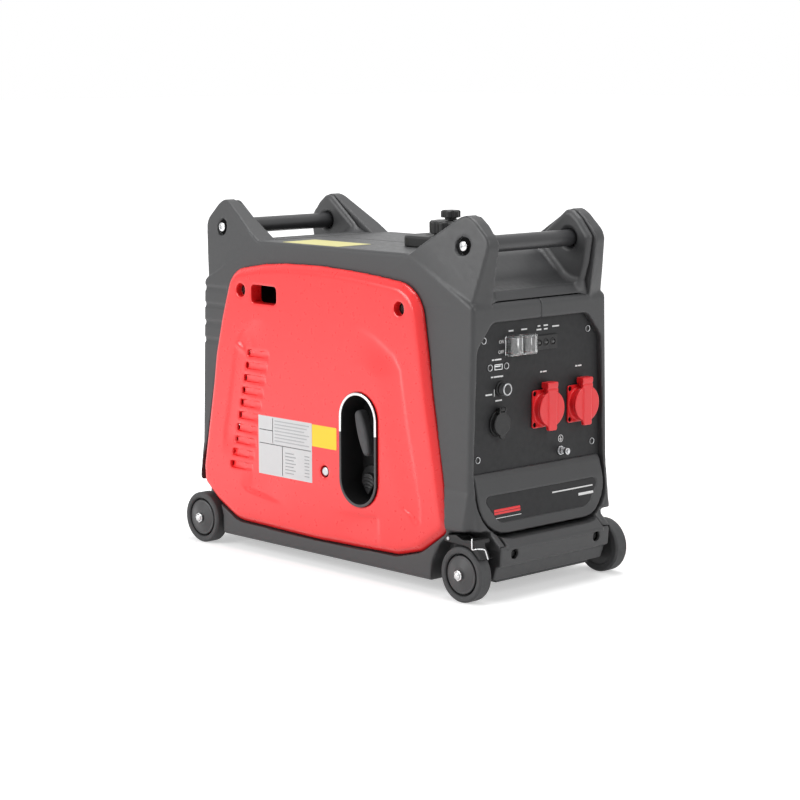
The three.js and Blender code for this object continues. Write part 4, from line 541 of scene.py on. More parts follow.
def ear_side(end, a, z):
    """The outer face of an ear, which leans inwards and turns in towards the end."""
    return (a - EAR_TOP_A - 0.135 * (EAR_TOP - z) - 0.12 * (280 - end)) / 1.016


def casing_half(x, y, z):
    a = -y
    end = np.abs(x)
    front = x > 0
    side = a - SIDE_Y + DRAFT * (z - DRAFT_Z)
    trunk = both(side, end - END_X, 6)
    trunk = both(trunk, BOTTOM_Z - z, 5)
    top = both(z - DECK_Z, (z - DECK_Z + SHOULDER_SLOPE * (end - SHOULDER_X)) / SHOULDER_LENGTH, 7)
    body = both(trunk, top, 5)

    # Fenders bulge out over the wheels, and feet lean out to the bumper.
    bulge = both(a - SIDE_Y - FENDER_SLOPE * (FENDER_Z - z), 92 - z, 1.5) + 0 * x
    bulge = both(bulge, np.maximum(between(end, 205, END_X - 1), z - 140), 6)
    bulge = both(bulge, both(a - FENDER_Y, end - END_X, 9), 3)
    body = either(body, np.maximum(bulge, 60 - a), 9)
    foot_front = shape(
        x, z,
        [(250, 170, 0), (250, 64, 0), (303, 64, 0), (298.5, 71, 3), (281.5, 86, 3), (268, 162, 20)]
    )
    foot_rear = shape(
        -x, z, [(250, 170, 0), (250, 84, 0), (274.5, 84, 0), (274, 91, 3), (268, 162, 20)]
    )
    foot = np.minimum(foot_front, foot_rear)
    foot = both(foot, both(a - 127.5, 92.3 - a, 2), 7)
    body = either(body, np.maximum(foot, end - 297.9), 5)

    # Ears.
    ear = both(ear_profile(end, a, z), both(ear_side(end, a, z), side, 3), 3)
    ear = both(ear, EAR_SPLIT + 0.2 - a, 0.5)
    body = either(body, np.maximum(ear, 372 - z), 1.5)

    # Wheel arches, hand troughs and the bumper's bays.
    arch = np.minimum(shape(x, z, front_arch), shape(-x, z, rear_arch))
    body = less(body, both(arch, 106 - a, 6), 2.2)
    trough = shape(end, z, trough_cut)
    body = less(body, both(trough, a - EAR_SPLIT, 0.6), 1.5)
    low_half = np.where(front, 104.4, 95.4)
    body = less(body, np.maximum(np.maximum(252.6 - end, z - 71.4), a - low_half), 0.8)
    body = less(body, np.maximum(np.maximum(252.6 - end, z - 86.4), a - 92.4), 0.8)

    # The window for the panel, the outlet behind and the seat of the service cover.
    window = np.maximum(shape(y, z, front_window), 250 - x)
    body = less(body, window, 2.4)
    outlet = np.maximum(shape(y, z, inset_box(*REAR_OPENING, 16)), x + 250)
    body = less(body, outlet, 2)
    cover = shape(x, z, side_cover_outline)
    body = less(body, np.maximum(cover - 0.9, COVER_SEAT - a), 0.8)
    body = less(body, np.maximum(cover + 13, PAST_HOLE - a), 0.8)

    # Short grooves round the rear corner.
    for height, reach in ((366, 216), (342, 221.5), (317, 227), (292, 232.5)):
        groove = both(both(np.abs(z - height) - 3.4, x + reach, 2), -(body + 1.6), 0.6)
        body = less(body, np.maximum(groove, PAST_HOLE - a), 0.7)

    # Bolt wells, the filler, the axles and the hollow.
    bolt = np.hypot(end - BAR_END, z - BAR_Z)
    body = less(body, np.maximum(bolt - 11.8, BOLT_A - 5.5 - a), 0.9)
    for way in (1, -1):
        body = less(body, np.maximum(np.hypot(x - way * WHEEL_X, z - WHEEL_Z) - 5.6, 80 - a), 0.3)
    body = less(body, np.maximum(np.hypot(x - FILLER[0], y) - 25, 420 - z), 0.5)
    hollow = both(end - 258.2, a - 118.5, 4)
    hollow = both(hollow, top + WALL, 3)
    grown = np.minimum(shape(x + WALL, z - WALL, front_arch), shape(-x + WALL, z - WALL, rear_arch))
    hollow = less(hollow, np.maximum(grown, 106 - WALL - a), 2)
    hollow = less(hollow, np.maximum(trough - WALL, a - EAR_SPLIT - WALL), 2)
    body = less(body, hollow, 0.8)
    return both(body, 0.25 - a, 0.9)


SHELL_CELL = 2.1
left_shell = carve(
    "casing_left", (CASING_LOW[0], -141, 14), (CASING_HIGH[0], 1, 495), SHELL_CELL, casing_half,
    casing_plastic
)
right_shell = mirrored(left_shell, "casing_right", "y")
settle(left_shell, "machine", "casing", "left_shell")
settle(right_shell, "machine", "casing", "right_shell")

# %% [markdown]
# The hand troughs and the inner halves of the ears are one moulding at each end, set between the
# halves of the casing. A narrow groove stays where they meet, and it runs on along the front of the
# end beam. Inside the groove the edge is chamfered. The floor of the trough falls in a soft curve
# from the deck to the beam.

# %% The handle inserts
trough_floor = [
    (262.2, 381.5, 0), (262.2, 383, 3), (255.5, 393.6, 5), (244, 393.6, 40), (229, 402, 40),
    (208, 421, 40), (194, 434, 30), (181, 438.5, 0), (150, 438.5, 0), (150, 434, 0), (181, 432, 0),
    (205, 416, 0), (229, 396, 0), (244, 388, 0), (252, 381.5, 0),
]


def handle_insert(x, y, z):
    a = np.abs(y)
    bar = np.hypot(x - BAR_END, z - BAR_Z)
    ear = both(shape(x, z, liner_outline), a - EAR_SPLIT + 0.3, 0.6)
    ear = both(ear, EAR_IN - a, 7)
    floor = np.maximum(shape(x, z, trough_floor), a - EAR_SPLIT + 0.3)
    body = either(ear, floor, 10)
    cone = bar - 11.6 - 1.1 * np.maximum(EAR_IN + 4 - a, 0)
    body = less(body, np.maximum(cone, EAR_IN - 10 - a), 0.8)
    return less(body, bar - 11.4, 0.6)


for end in ("front", "rear"):
    insert = carve(
        f"handle_moulding_{end}", (150, -92.5, 379), (283, 92.5, 494), 1.4, handle_insert,
        casing_plastic
    )
    if end == "rear":
        to_the_rear(insert)
    settle(insert, "machine", "casing", f"handle_insert_{end}")


# %% [markdown]
# ## The service covers
#
# The red cover is a shallow dish with a broad bevel. Its main face is not quite flat: a shallow
# field in the middle is set back with edges that fade away, which is a smooth step multiplied by a
# fading weight. Ten louvres in a slanted row and two screw wells are cut in both covers. The one
# beside the starter also has the air window, the opening for the starter and a hole with a screw
# behind it.

# %% The service cover's field
COVER_FACE, COVER_BEVEL = 138.6, 8.5
LOUVRES, LOUVRE_HALF, SET_BACK = 10, 23, 2.6
STARTER_X, STARTER_LOW, STARTER_HIGH, STARTER_R = 69.0, 133.0, 215.0, 36.0
ACCESS_Z = 136
cover_screws = ((-172, 369.6), (145.8, 367.6))
raised_edges = [
    [(-181, 293), (-166, 312), (-145, 323), (-118, 331)],
    [
        (60, 337), (100, 322), (133, 303), (144, 287), (155, 225), (168, 170), (180, 119), (181, 96),
        (172, 86)
    ],
    [(110, 85), (60, 82), (10, 81)],
    [(-180, 100), (-160, 92), (-115, 86), (-66, 79)],
    [(-181, 293), (-189, 250), (-206, 170), (-212, 128)],
]


def smoothstep(value, low, high):
    share = np.clip((value - low) / (high - low), 0, 1)
    return share * share * (3 - 2 * share)


def soft_step(x, z, line, side, fade):
    """How far to one side of a bent line, how near to it, and a weight that fades at its ends."""
    nearest = np.full(np.broadcast(x, z).shape, 1e9, np.float32)
    signed = np.zeros_like(nearest)
    along = np.zeros_like(nearest)
    lengths = [math.dist(p, q) for p, q in zip(line, line[1:])]
    start = 0.0
    for (au, av), (bu, bv), length in zip(line, line[1:], lengths):
        du, dv = (bu - au) / length, (bv - av) / length
        t = np.clip((x - au) * du + (z - av) * dv, 0, length)
        far = np.hypot(x - au - t * du, z - av - t * dv)
        closer = far < nearest
        cross = du * (z - av) - dv * (x - au)
        signed = np.where(closer, np.sign(cross) * far, signed)
        along = np.where(closer, start + t, along)
        nearest = np.minimum(nearest, far)
        start += length
    total = sum(lengths)
    weight = smoothstep(along, 0, fade[0]) * smoothstep(total - along, 0, fade[1])
    return signed * side, nearest, weight


def cover_face(x, z):
    """How far the main face is set back, in millimetres."""
    depth = 0
    for line, side, fade in zip(
        raised_edges, (-1, -1, 1, 1, 1), ((8, 60), (70, 12), (10, 70), (30, 70), (12, 40))
    ):
        signed, near, weight = soft_step(x, z, line, side, fade)
        ridge = smoothstep(signed, -7, 1) * (1 - smoothstep(signed, 1, 46))
        depth = depth + SET_BACK * weight * ridge * (near < 60)
    return depth


def service_cover(with_starter):
    def field(x, y, z):
        a = -y
        outline = shape(x, z, side_cover_outline)
        face = a - COVER_FACE + cover_face(x, z)
        bevel = (outline + (a - COVER_FACE + COVER_BEVEL)) * 0.707
        body = both(both(face, bevel, 2.5), outline, 2)
        body = both(body, 125.9 - a, 0.6)
        body = less(body, np.maximum(outline + 12, a - COVER_FACE + 7.0), 1)
        for u, v in cover_screws:
            well = np.hypot(x - u, z - v)
            body = np.minimum(body, np.maximum(well - 12, between(a, 126.4, COVER_FACE - 5)))
            body = less(body, np.maximum(well - 9.4 + 0.04 * (COVER_FACE - a), 128.6 - a), 1)
        for i in range(LOUVRES):
            share = i / (LOUVRES - 1)
            u, v = -137 - 38 * share, 283 - 160.5 * share
            floor = 2.0 + 3.2 * np.clip((u + LOUVRE_HALF - x) / (2 * LOUVRE_HALF), 0, 1)
            slot = both(
                both(np.abs(x - u) - 23.5, np.abs(z - v) - 4.8, 2.6), COVER_FACE - floor - a, 0.6
            )
            vent = np.maximum(np.maximum(np.abs(x - u + 22.2) - 0.8, np.abs(z - v) - 3.4), 120 - a)
            body = less(less(body, slot, 0.7), vent, 0.2)
        if with_starter:
            air = shape(x, z, inset_box(-123.3, 366.3, 26.6, 12.6, 6.5))
            body = np.minimum(body, np.maximum(air - 2.4, between(a, 118.5, COVER_FACE - 5)))
            body = less(body, np.maximum(air, PAST_HOLE - a), 1.2)
            pocket = np.hypot(
                x - STARTER_X, z - np.clip(z, STARTER_LOW, STARTER_HIGH)
            ) - STARTER_R + 0.4
            body = less(body, np.maximum(pocket, 120 - a), 0.8)
            body = less(body, np.maximum(np.hypot(x, z - ACCESS_Z) - 8.2, 130 - a), 0.6)
        return body

    return field


COVER_CELL = 2.0
COVER_LOW, COVER_HIGH = (-266, -139.5, 36), (233, -117, 415)
left_cover = carve("cover_left", COVER_LOW, COVER_HIGH, COVER_CELL, service_cover(True), cover_red, 1)
right_cover = carve(
    "cover_right_plain", COVER_LOW, COVER_HIGH, COVER_CELL, service_cover(False), cover_red, 1
)
right_cover_turned = mirrored(right_cover, "cover_right", "y")
bpy.data.objects.remove(right_cover)
settle(left_cover, "machine", "cover_red", "service_cover_left")
settle(right_cover_turned, "machine", "cover_red", "service_cover_right")

# %% [markdown]
# ## The front cover and the bumpers
#
# Below the panel a cover bulges forward, with rounded lower corners and a shallow inset field. It
# is one section pulled across the machine and trimmed to the window. The bumper carries a ramp that
# goes on upwards to the rounded corners of the window, and two sunken screws.

# %% Front cover and bumpers
front_cover_section = [
    (258, 162.0, 0), (262.4, 162.0, 2), (266.2, 156, 6), (272, 134, 60), (277, 98, 30), (281, 84.5, 3),
    (279, 80.2, 3), (258, 80.2, 0),
]
ramp_section = [
    (256, 100, 0), (256, 64, 0), (300, 64, 0), (298, 71, 2), (281.5, 86, 2), (279, 100, 0),
]
plate_outline = [(-86, 97.5, 20), (86, 97.5, 20), (112.5, 134, 7), (-112.5, 134, 7)]
PLATE_WIDTH, PLATE_HEIGHT = 0.994, 0.98  # of the plate, against the field it lies in
bumper_section = [
    (270, 26, 0), (283.5, 26, 2), (284.8, 30, 3), (289.0, 43, 3), (296.4, 46, 3), (297.9, 67, 2),
    (296.9, 71, 1), (270, 71, 0),
]


def front_skin(x, z):
    """Distance from the bulging front face alone."""
    return shape(x, z, front_cover_section)


def front_cover(x, y, z):
    body = np.maximum(front_skin(x, z), 257.9 - x)
    body = both(body, shape(y, z, front_window) + 3.4, 3.2)
    return less(body, both(shape(y, z, plate_outline), -(front_skin(x, z) + 1.4), 0.4), 0.7)


def cover_piece(outline, low, high):
    """A thin piece lying in the inset field, from low to high above the face."""
    def field(x, y, z):
        skin = np.maximum(front_skin(x, z), -30)
        return both(shape(y, z, outline), both(skin - high, low - skin, 0.1), 0.3)

    return field


def bumper(half, corner_fit):
    def field(x, y, z):
        a = np.abs(y)
        bar = both(shape(x, z, bumper_section), a - half, 2.5)
        ramp = both(shape(x, z, ramp_section), a - 92.0, 1.0)
        ramp = np.maximum(ramp, 1.8 - shape(y, z, front_window) if corner_fit else z - 85)
        body = either(np.maximum(bar, 270 - x), np.maximum(ramp, 66 - z), 0.8)
        wells = np.hypot(a - 78.5, z - 60) - 6.5
        body = less(body, np.maximum(wells, 291 - x), 1)
        groove = np.hypot(x - 297.9, z - 55.5)
        body = less(body, np.maximum(groove - 1.0, a - half + 6), 0.5)
        inside = np.maximum(bar + 4.5, 274 - x)
        return less(body, np.maximum(inside, x - 292), 1)

    return field


cover = carve("front_cover", (256, -122, 78), (282.5, 122, 164), 1.1, front_cover, casing_plastic)
settle(cover, "machine", "casing", "front_lower_cover")
plate = carve(
    "front_plate", (264, -113, 96), (282, 113, 136), 0.8,
    cover_piece(
        [(y * PLATE_WIDTH, 97.9 + (z - 97.5) * PLATE_HEIGHT, r) for y, z, r in plate_outline], -2.2,
        -0.9
    ),
    panel_paint,
)
settle(plate, "machine", "panel")
for number, (y0, y1, z0, z1, print_finish) in enumerate((
    (-93, -44, 108, 116, socket_red), (-92, -43, 103.6, 105.0, white_print),
    (18, 98, 122.4, 124.8, white_print), (68, 98, 112.5, 116.5, white_print),
)):
    ribbon = [(y, z, 0.3) for y, z in rectangle(y0, y1, z0, z1)]
    mark = carve(
        f"front_mark_{number}", (264, y0, z0), (282, y1, z1), 0.45, cover_piece(ribbon, -1.2, -0.75),
        print_finish
    )
    settle(mark, "machine", "panel")
front_bumper = carve(
    "bumper_front", (255, -105, 24), (299, 105, 101), 1.3, bumper(104, True), casing_plastic
)
settle(front_bumper, "machine", "casing", "front_bumper")
rear_bumper = carve(
    "bumper_rear", (255, -96, 24), (299, 96, 101), 1.5, bumper(95, False), casing_plastic
)
settle(to_the_rear(rear_bumper), "machine", "casing", "rear_bumper")

# %% [markdown]
# ## Turned pieces
#
# Bars, wheels, nuts and knobs are round, so a profile is drawn once, its corners are rounded, and
# it is turned about an axis. A closed profile gives a closed body without any poles to mend.

# %% Turning a profile
AXES = {"x": (0, 1, 2), "y": (1, 2, 0), "z": (2, 0, 1)}


def turned(name, axis, centre, profile, material, sides=64, steps=4, sharp=38):
    """Corners (radius, along, rounding) of a closed profile, turned about an axis through centre."""
    points = rounded(profile, steps)
    along, u, v = AXES[axis]
    angles = np.arange(sides) * 2 * np.pi / sides
    places = np.zeros((sides, len(points), 3))
    places[..., along] = points[None, :, 1]
    places[..., u] = np.cos(angles)[:, None] * points[None, :, 0]
    places[..., v] = np.sin(angles)[:, None] * points[None, :, 0]
    index = np.arange(sides * len(points)).reshape(sides, -1)
    ahead_index = np.roll(index, -1, axis=0)
    squares = np.stack(
        [index, np.roll(index, -1, axis=1), np.roll(ahead_index, -1, axis=1), ahead_index], axis=-1
    ).reshape(-1, 4)
    area = sum(p[0] * q[1] - q[0] * p[1] for p, q in zip(points, np.roll(points, -1, axis=0)))
    if area > 0:
        squares = squares[:, ::-1]
    obj = add_mesh(name, places.reshape(-1, 3) + np.array(centre), squares, material)
    merge(obj)
    return smooth(obj, sharp)


def rod(radius, low, high):
    """The profile of a plain rod."""
    return [(0, low, 0), (radius, low, 0), (radius, high, 0), (0, high, 0)]


def handed(profile, hand):
    """The profile, or its mirror image for the other side."""
    return [(radius, hand * along, rounding) for radius, along, rounding in profile]


def merge(obj, gap_mm=0.002):
    """Join points that fall together, such as those on the axis."""
    with edited(obj.data) as work:
        bmesh.ops.remove_doubles(work, verts=work.verts, dist=gap_mm * MM)
        bmesh.ops.dissolve_degenerate(work, edges=work.edges, dist=gap_mm * MM)


def gathered(name, pieces):
    """Several meshes as one object; their finishes stay."""
    mesh = bpy.data.meshes.new(name)
    work = bmesh.new()
    for piece in pieces:
        for material in piece.data.materials:
            if material.name not in mesh.materials:
                mesh.materials.append(material)
        slots = [mesh.materials.find(material.name) for material in piece.data.materials]
        before = len(work.faces)
        work.from_mesh(piece.data)
        work.faces.ensure_lookup_table()
        for face in work.faces[before:]:
            face.material_index = slots[face.material_index]
    work.to_mesh(mesh)
    work.free()
    for piece in pieces:
        bpy.data.objects.remove(piece)
    obj = in_scene(name, mesh)
    return smooth(obj)


# %% Handle bars, bolts, wheels and axles
HEAD_CORNERS = [
    (0, -110.5, 0), (6.5, -110.5, 0), (6.5, -115.6, 1.6), (2.9, -117.2, 0.4), (2.7, -115.0, 0.2),
    (0, -115.0, 0)
]
for end, way in (("front", 1), ("rear", -1)):
    place = (way * BAR_END, 0, BAR_Z)
    bar = turned(f"handle_bar_round_{end}", "y", place, rod(11, -90.5, 90.5), bar_plastic)
    settle(bar, "machine", "trim", f"handle_bar_{end}")
    for side, hand in (("left", 1), ("right", -1)):
        bolt = gathered(
            f"bolt_{end}_{side}",
            [
                turned("head", "y", place, handed(HEAD_CORNERS, hand), chrome, 40),
                turned("shank", "y", place, rod(3.9, hand * -110, hand * -78), zinc_steel, 24),
                # This disc is a black washer under the bolt head and, being near-black, also painted
                # shade in the well.
                turned("recess", "y", place, rod(11.6, hand * -110.7, hand * -110.1), deep_black, 40),
            ],
        )
        settle(bolt, "machine", "steel", f"handle_bolt_{end}_{side}")

TYRE = [
    (26.2, 120.2, 0), (33.5, 119.9, 1.5), (36.15, 122.2, 2.6), (36.15, 139.2, 2.4), (33.8, 141.7, 2.2),
    (29.0, 141.3, 0.8), (27.6, 139.8, 0.8), (27.6, 134.0, 0), (26.2, 134.0, 0),
]
HUB = [
    (5.6, 106.6, 0), (10.5, 106.6, 0), (10.5, 122, 0), (25.6, 121, 0), (25.6, 132, 0), (25.0, 132.5, 0),
    (25.0, 139.6, 0.8), (24.0, 140.4, 0.8), (22.2, 140.0, 1.0), (10.5, 143.1, 1.2), (5.6, 143.1, 0),
]
NUT = [
    (0, 143.8, 0), (6.4, 143.8, 0.3), (6.4, 146.2, 0.4), (5.0, 146.8, 0.5), (4.7, 148.6, 1.6),
    (2.2, 149.9, 1.6), (0, 149.9, 0)
]
for end, way in (("front", 1), ("rear", -1)):
    place = (way * WHEEL_X, 0, WHEEL_Z)
    for side, hand in (("left", -1), ("right", 1)):
        for kind, profile, shown, plastic, slot in (
            ("tyre", TYRE, "tyre_round", tyre_rubber, "tyre"),
            ("hub", HUB, "wheel_disc", hub_plastic, "trim"),
        ):
            piece = turned(f"{shown}_{end}_{side}", "y", place, handed(profile, hand), plastic, 96, 5)
            settle(piece, f"wheel_{end}_{side}", slot, f"{kind}_{end}_{side}")
    pieces = [turned("shaft", "y", place, rod(4.95, -146, 146), zinc_steel, 32)]
    for hand in (-1, 1):
        pieces.append(turned("nut", "y", place, handed(NUT, hand), chrome, 40))
        pieces.append(
            turned("flats", "y", place, rod(7.2, hand * 143.9, hand * 146.4), chrome, 6, sharp=20)
        )
    settle(gathered(f"axle_round_{end}", pieces), "machine", "steel", f"axle_{end}")
print("bars, bolts, wheels and axles turned")

# %% [markdown]
# ## The brake
#
# A pedal of folded plate hangs over the front wheel and its shoe presses on the tread. A bent wire
# latches it.

# %% Brake
pedal_section = [
    (229, 76.0, 1), (238, 75.2, 0), (262, 74.6, 0), (272, 73.2, 8), (280, 69.2, 8), (287, 63.2, 4),
    (291.4, 58.6, 0.6), (294.4, 60.4, 1), (291, 68.6, 6), (286.4, 74.8, 3), (285.4, 83.6, 1.5),
    (262, 81.6, 0), (250, 86.4, 1.5), (232, 83.6, 2),
]


def pedal(x, y, z):
    a = -y
    body = both(shape(x, z, pedal_section), both(a - 138.6, 112.5 - a, 1), 1.0)
    rib = np.maximum(np.abs(a - 126) - 7.5, 78 - z)
    body = less(body, np.maximum(rib, np.maximum(x - 282, 254 - x)), 1)
    notch = np.maximum(np.maximum(x - 296, 277 - x), np.maximum(a - 121, 0.9 * (z - 78)))
    return less(body, np.maximum(notch, 60 - z), 1)


lever = carve("brake_pedal", (226, -140, 57), (296, -111, 88), 0.9, pedal, black_plastic)
settle(lever, "brake", "trim", "brake_lever")


def bent_rod(name, places, radius, material, sides=12, turns=5):
    """A round wire along a path with rounded bends, as a closed mesh."""
    path = []
    points = [Vector(p) for p in places]
    for i, here in enumerate(points):
        if i in (0, len(points) - 1):
            path.append(here)
            continue
        reach = min(3.0, (points[i - 1] - here).length / 2.2, (points[i + 1] - here).length / 2.2)
        a = here + (points[i - 1] - here).normalized() * reach
        b = here + (points[i + 1] - here).normalized() * reach
        for k in range(turns + 1):
            t = k / turns
            path.append(a * (1 - t) ** 2 + here * 2 * t * (1 - t) + b * t * t)
    rings, faces = [], []
    normal = (path[1] - path[0]).orthogonal().normalized()
    for i, here in enumerate(path):
        along = (path[min(i + 1, len(path) - 1)] - path[max(i - 1, 0)]).normalized()
        normal = (normal - along * normal.dot(along)).normalized()
        other = along.cross(normal)
        for k in range(sides):
            angle = 2 * math.pi * k / sides
            rings.append(here + (normal * math.cos(angle) + other * math.sin(angle)) * radius)
    for i in range(len(path) - 1):
        for k in range(sides):
            m = (k + 1) % sides
            faces.append((i * sides + k, i * sides + m, (i + 1) * sides + m, (i + 1) * sides + k))
    faces.append(tuple(range(sides))[::-1])
    faces.append(tuple(range((len(path) - 1) * sides, len(path) * sides)))
    return smooth(add_mesh(name, rings, faces, material))


latch = bent_rod(
    "brake_latch_wire",
    [
        (276, -134, 84.6), (281, -140.6, 86), (281.5, -140.6, 71.4), (289, -140.2, 74),
        (296, -132, 73.4), (296.9, -127.6, 60)
    ],
    0.9, chrome,
)
settle(latch, "brake", "steel", "brake_wire")
settle(
    turned(
        "brake_pivot_pin", "y", (237, 0, 80),
        [(0, -139.7, 0), (2.4, -139.7, 0.6), (2.4, -105.2, 0), (0, -105.2, 0)], zinc_steel, 24
    ),
    "machine", "steel", "brake_pin",
)

# %% [markdown]
# ## The fuel cap
#
# A cap that is turned by hand has a lobed rim. Its shape follows a rule, the radius swings with the
# angle, so Geometry Nodes can make it: a plain turned cap goes in, and a Set Position node moves
# each point in or out by a cosine of its angle. The number of lobes and their depth are inputs, and
# the vent knob on top uses the same tree with other numbers.

# %% The lobe tree
def node_tree(name, inputs):
    """An empty geometry tree with named number inputs; returns it with its two ends."""
    tree = bpy.data.node_groups.new(name, "GeometryNodeTree")
    tree.interface.new_socket("Geometry", in_out="INPUT", socket_type="NodeSocketGeometry")
    for label, kind in inputs:
        tree.interface.new_socket(label, in_out="INPUT", socket_type=f"NodeSocket{kind}")
    tree.interface.new_socket("Geometry", in_out="OUTPUT", socket_type="NodeSocketGeometry")
    return tree, tree.nodes.new("NodeGroupInput"), tree.nodes.new("NodeGroupOutput")


def finish_tree(tree, geometry, end, source):
    """Every tree ends in Realize Instances and Set Material."""
    realize = tree.nodes.new("GeometryNodeRealizeInstances")
    paint = tree.nodes.new("GeometryNodeSetMaterial")
    tree.links.new(geometry, realize.inputs["Geometry"])
    tree.links.new(realize.outputs["Geometry"], paint.inputs["Geometry"])
    tree.links.new(source.outputs["Finish"], paint.inputs["Material"])
    tree.links.new(paint.outputs["Geometry"], end.inputs["Geometry"])
    return tree


def use_tree(obj, tree, **values):
    """Run a tree on an object with its named inputs set, and keep the plain mesh."""
    modifier = obj.modifiers.new(tree.name, "NODES")
    modifier.node_group = tree
    for item in tree.interface.items_tree:
        if item.in_out == "INPUT" and item.name.replace(" ", "_") in values:
            modifier[item.identifier] = values[item.name.replace(" ", "_")]
    return smooth(apply_modifiers(obj))


lobes, source, end = node_tree(
    "lobed rim",
    [
        ("Middle X", "Float"), ("Lobes", "Float"), ("Depth", "Float"), ("Radius", "Float"),
        ("Finish", "Material")
    ]
)
position = lobes.nodes.new("GeometryNodeInputPosition")
split = lobes.nodes.new("ShaderNodeSeparateXYZ")
lobes.links.new(position.outputs[0], split.inputs[0])


def lobe_math(operation, first, second=None):
    return math_node(lobes, operation, first, second)


offset_x = lobe_math("SUBTRACT", split.outputs["X"], source.outputs["Middle X"])
offset_y = split.outputs["Y"]
wave = lobe_math(
    "COSINE", lobe_math("MULTIPLY", lobe_math("ARCTAN2", offset_y, offset_x), source.outputs["Lobes"])
)
narrow = lobe_math("POWER", lobe_math("MULTIPLY", lobe_math("SUBTRACT", 1.0, wave), 0.5), 1.6)
squares = lobe_math(
    "ADD", lobe_math("MULTIPLY", offset_x, offset_x), lobe_math("MULTIPLY", offset_y, offset_y)
)
reach = lobe_math("POWER", squares, 0.5)
near_rim = lobe_math("POWER", lobe_math("DIVIDE", reach, source.outputs["Radius"]), 6.0)
inward = lobe_math("MULTIPLY", lobe_math("MULTIPLY", narrow, near_rim), source.outputs["Depth"])
share = lobe_math("DIVIDE", inward, lobe_math("MAXIMUM", reach, 1e-5))
shift = lobes.nodes.new("ShaderNodeCombineXYZ")
for axis, offset in (("X", offset_x), ("Y", offset_y)):
    back = lobe_math("MULTIPLY", lobe_math("MULTIPLY", offset, share), -1.0)
    lobes.links.new(back, shift.inputs[axis])
move = lobes.nodes.new("GeometryNodeSetPosition")
lobes.links.new(source.outputs["Geometry"], move.inputs["Geometry"])
lobes.links.new(shift.outputs["Vector"], move.inputs["Offset"])
finish_tree(lobes, move.outputs["Geometry"], end, source)

CAP = [
    (0, 459.6, 0), (23.6, 459.6, 0), (23.6, 456.2, 0.4), (28.6, 456.2, 1), (28.9, 470.6, 2.2),
    (26.4, 472.8, 1.6), (12.0, 472.4, 0.8), (0, 472.4, 0),
]
KNOB = [
    (0, 468, 0), (4, 468, 0), (4, 473.6, 0.3), (8, 473.6, 0.6), (8, 476.6, 0.8), (13.4, 477.0, 0.8),
    (13.5, 485.2, 2.0), (11.2, 486.6, 1.4), (0, 486.6, 0),
]
for name, profile, sides, count, depth, radius, body, node in (
    ("cap_body", CAP, 200, 10.0, 0.0036, 0.029, "cap", "fuel_cap"),
    ("vent_knob_body", KNOB, 160, 6.0, 0.0030, 0.0135, "vent", "vent_knob"),
):
    plain = turned(name, "z", (*FILLER, 0), profile, black_plastic, sides, 6)
    lobed = use_tree(
        plain, lobes, Middle_X=FILLER[0] * MM, Lobes=count, Depth=depth, Radius=radius,
        Finish=black_plastic
    )
    settle(lobed, body, "trim", node)


def filler_base(x, y, z):
    far = np.hypot(x - FILLER[0], y)
    plate = both(shape(x, y, inset_box(*FILLER, 50.8, 50.8, 24), 8), z - 453.7, 3.2)
    plate = less(plate, np.maximum(far - 33, 452.3 - z), 0.9)
    neck = np.maximum(far - 23, z - 454.2)
    body = either(np.maximum(plate, 438.9 - z), np.maximum(neck, 427.5 - z), 0.4)
    return less(body, far - 19, 0.8)


base = carve("filler_plate", (50, -52, 427), (154, 52, 455), 1.3, filler_base, black_plastic)
settle(base, "machine", "trim", "filler_base")
print("fuel cap, knob and filler")

# %% [markdown]
# ## The starter recess
#
# A deep black cup with a bright trim round its upper part holds the starter's grip and the dial.
# The rims are stadium rings. The grip is a long rounded bar with a slight waist, and the dial has
# a raised pointer with curved ridges.

# %% Starter cup, grip and dial
def stadium(x, z):
    return np.hypot(x - STARTER_X, z - np.clip(z, STARTER_LOW, STARTER_HIGH))


def starter_cup(x, y, z):
    a = -y
    far = stadium(x, z)
    wall = np.maximum(np.maximum(far - 34.8, a - 139), 97.5 - a)
    lip = both(far - 36.2, both(a - 140.6, 138.8 - a, 0.8), 0.8)
    body = np.minimum(wall, lip)
    body = less(body, np.maximum(far - 32.4, 99.9 - a), 1.4)
    for u, v, r in ((66, 195, 4), (62, 128, 5.3)):
        body = less(body, np.hypot(x - u, z - v) - r, 0.4)
    return body


cup = carve("starter_cup", (31, -141, 95.5), (107, -97, 252.5), 1.2, starter_cup, black_plastic)
settle(cup, "machine", "trim", "starter_bezel")


def rim_strip(low_z, high_z, inner, outer, top):
    def field(x, y, z):
        far = stadium(x, z)
        ring = both(both(far - outer, inner - far, 0.9), both(-y - top, 140.2 + y, 0.4), 0.9)
        return np.maximum(ring, between(z, low_z, high_z))

    return field


bright_rim = carve(
    "starter_rim_bright", (31, -143, 194), (107, -139, 253), 0.55,
    rim_strip(195.2, 260, 32.0, 36.0, 141.9), chrome
)
dark_rim = carve(
    "starter_rim_dark", (31, -143, 95), (107, -139, 196), 0.55, rim_strip(90, 195.0, 32.0, 36.0, 141.7),
    casing_plastic
)
settle(bright_rim, "machine", "steel")
settle(dark_rim, "machine", "trim")


def grip(x, y, z):
    tilt = math.radians(18)
    u = (x - 66) * math.cos(tilt) + (z - 195) * math.sin(tilt)
    w = -(x - 66) * math.sin(tilt) + (z - 195) * math.cos(tilt)
    half = 6.2 + 2.9 * np.clip(1 - (w / 27) ** 2, 0, 1)
    far = (np.hypot(u, w - np.clip(w, -25, 25)) - half) * 0.97
    body = both(far, np.abs(-y - 123.8) - 8.6, 5.0)
    return less(body, np.maximum(np.hypot(u, w) - 2.4, -y - 121), 0.4)


grip_piece = carve("starter_handle", (48, -134, 160), (84, -113, 230), 0.8, grip, soft_rubber)
settle(grip_piece, "starter", "rubber", "starter_grip")


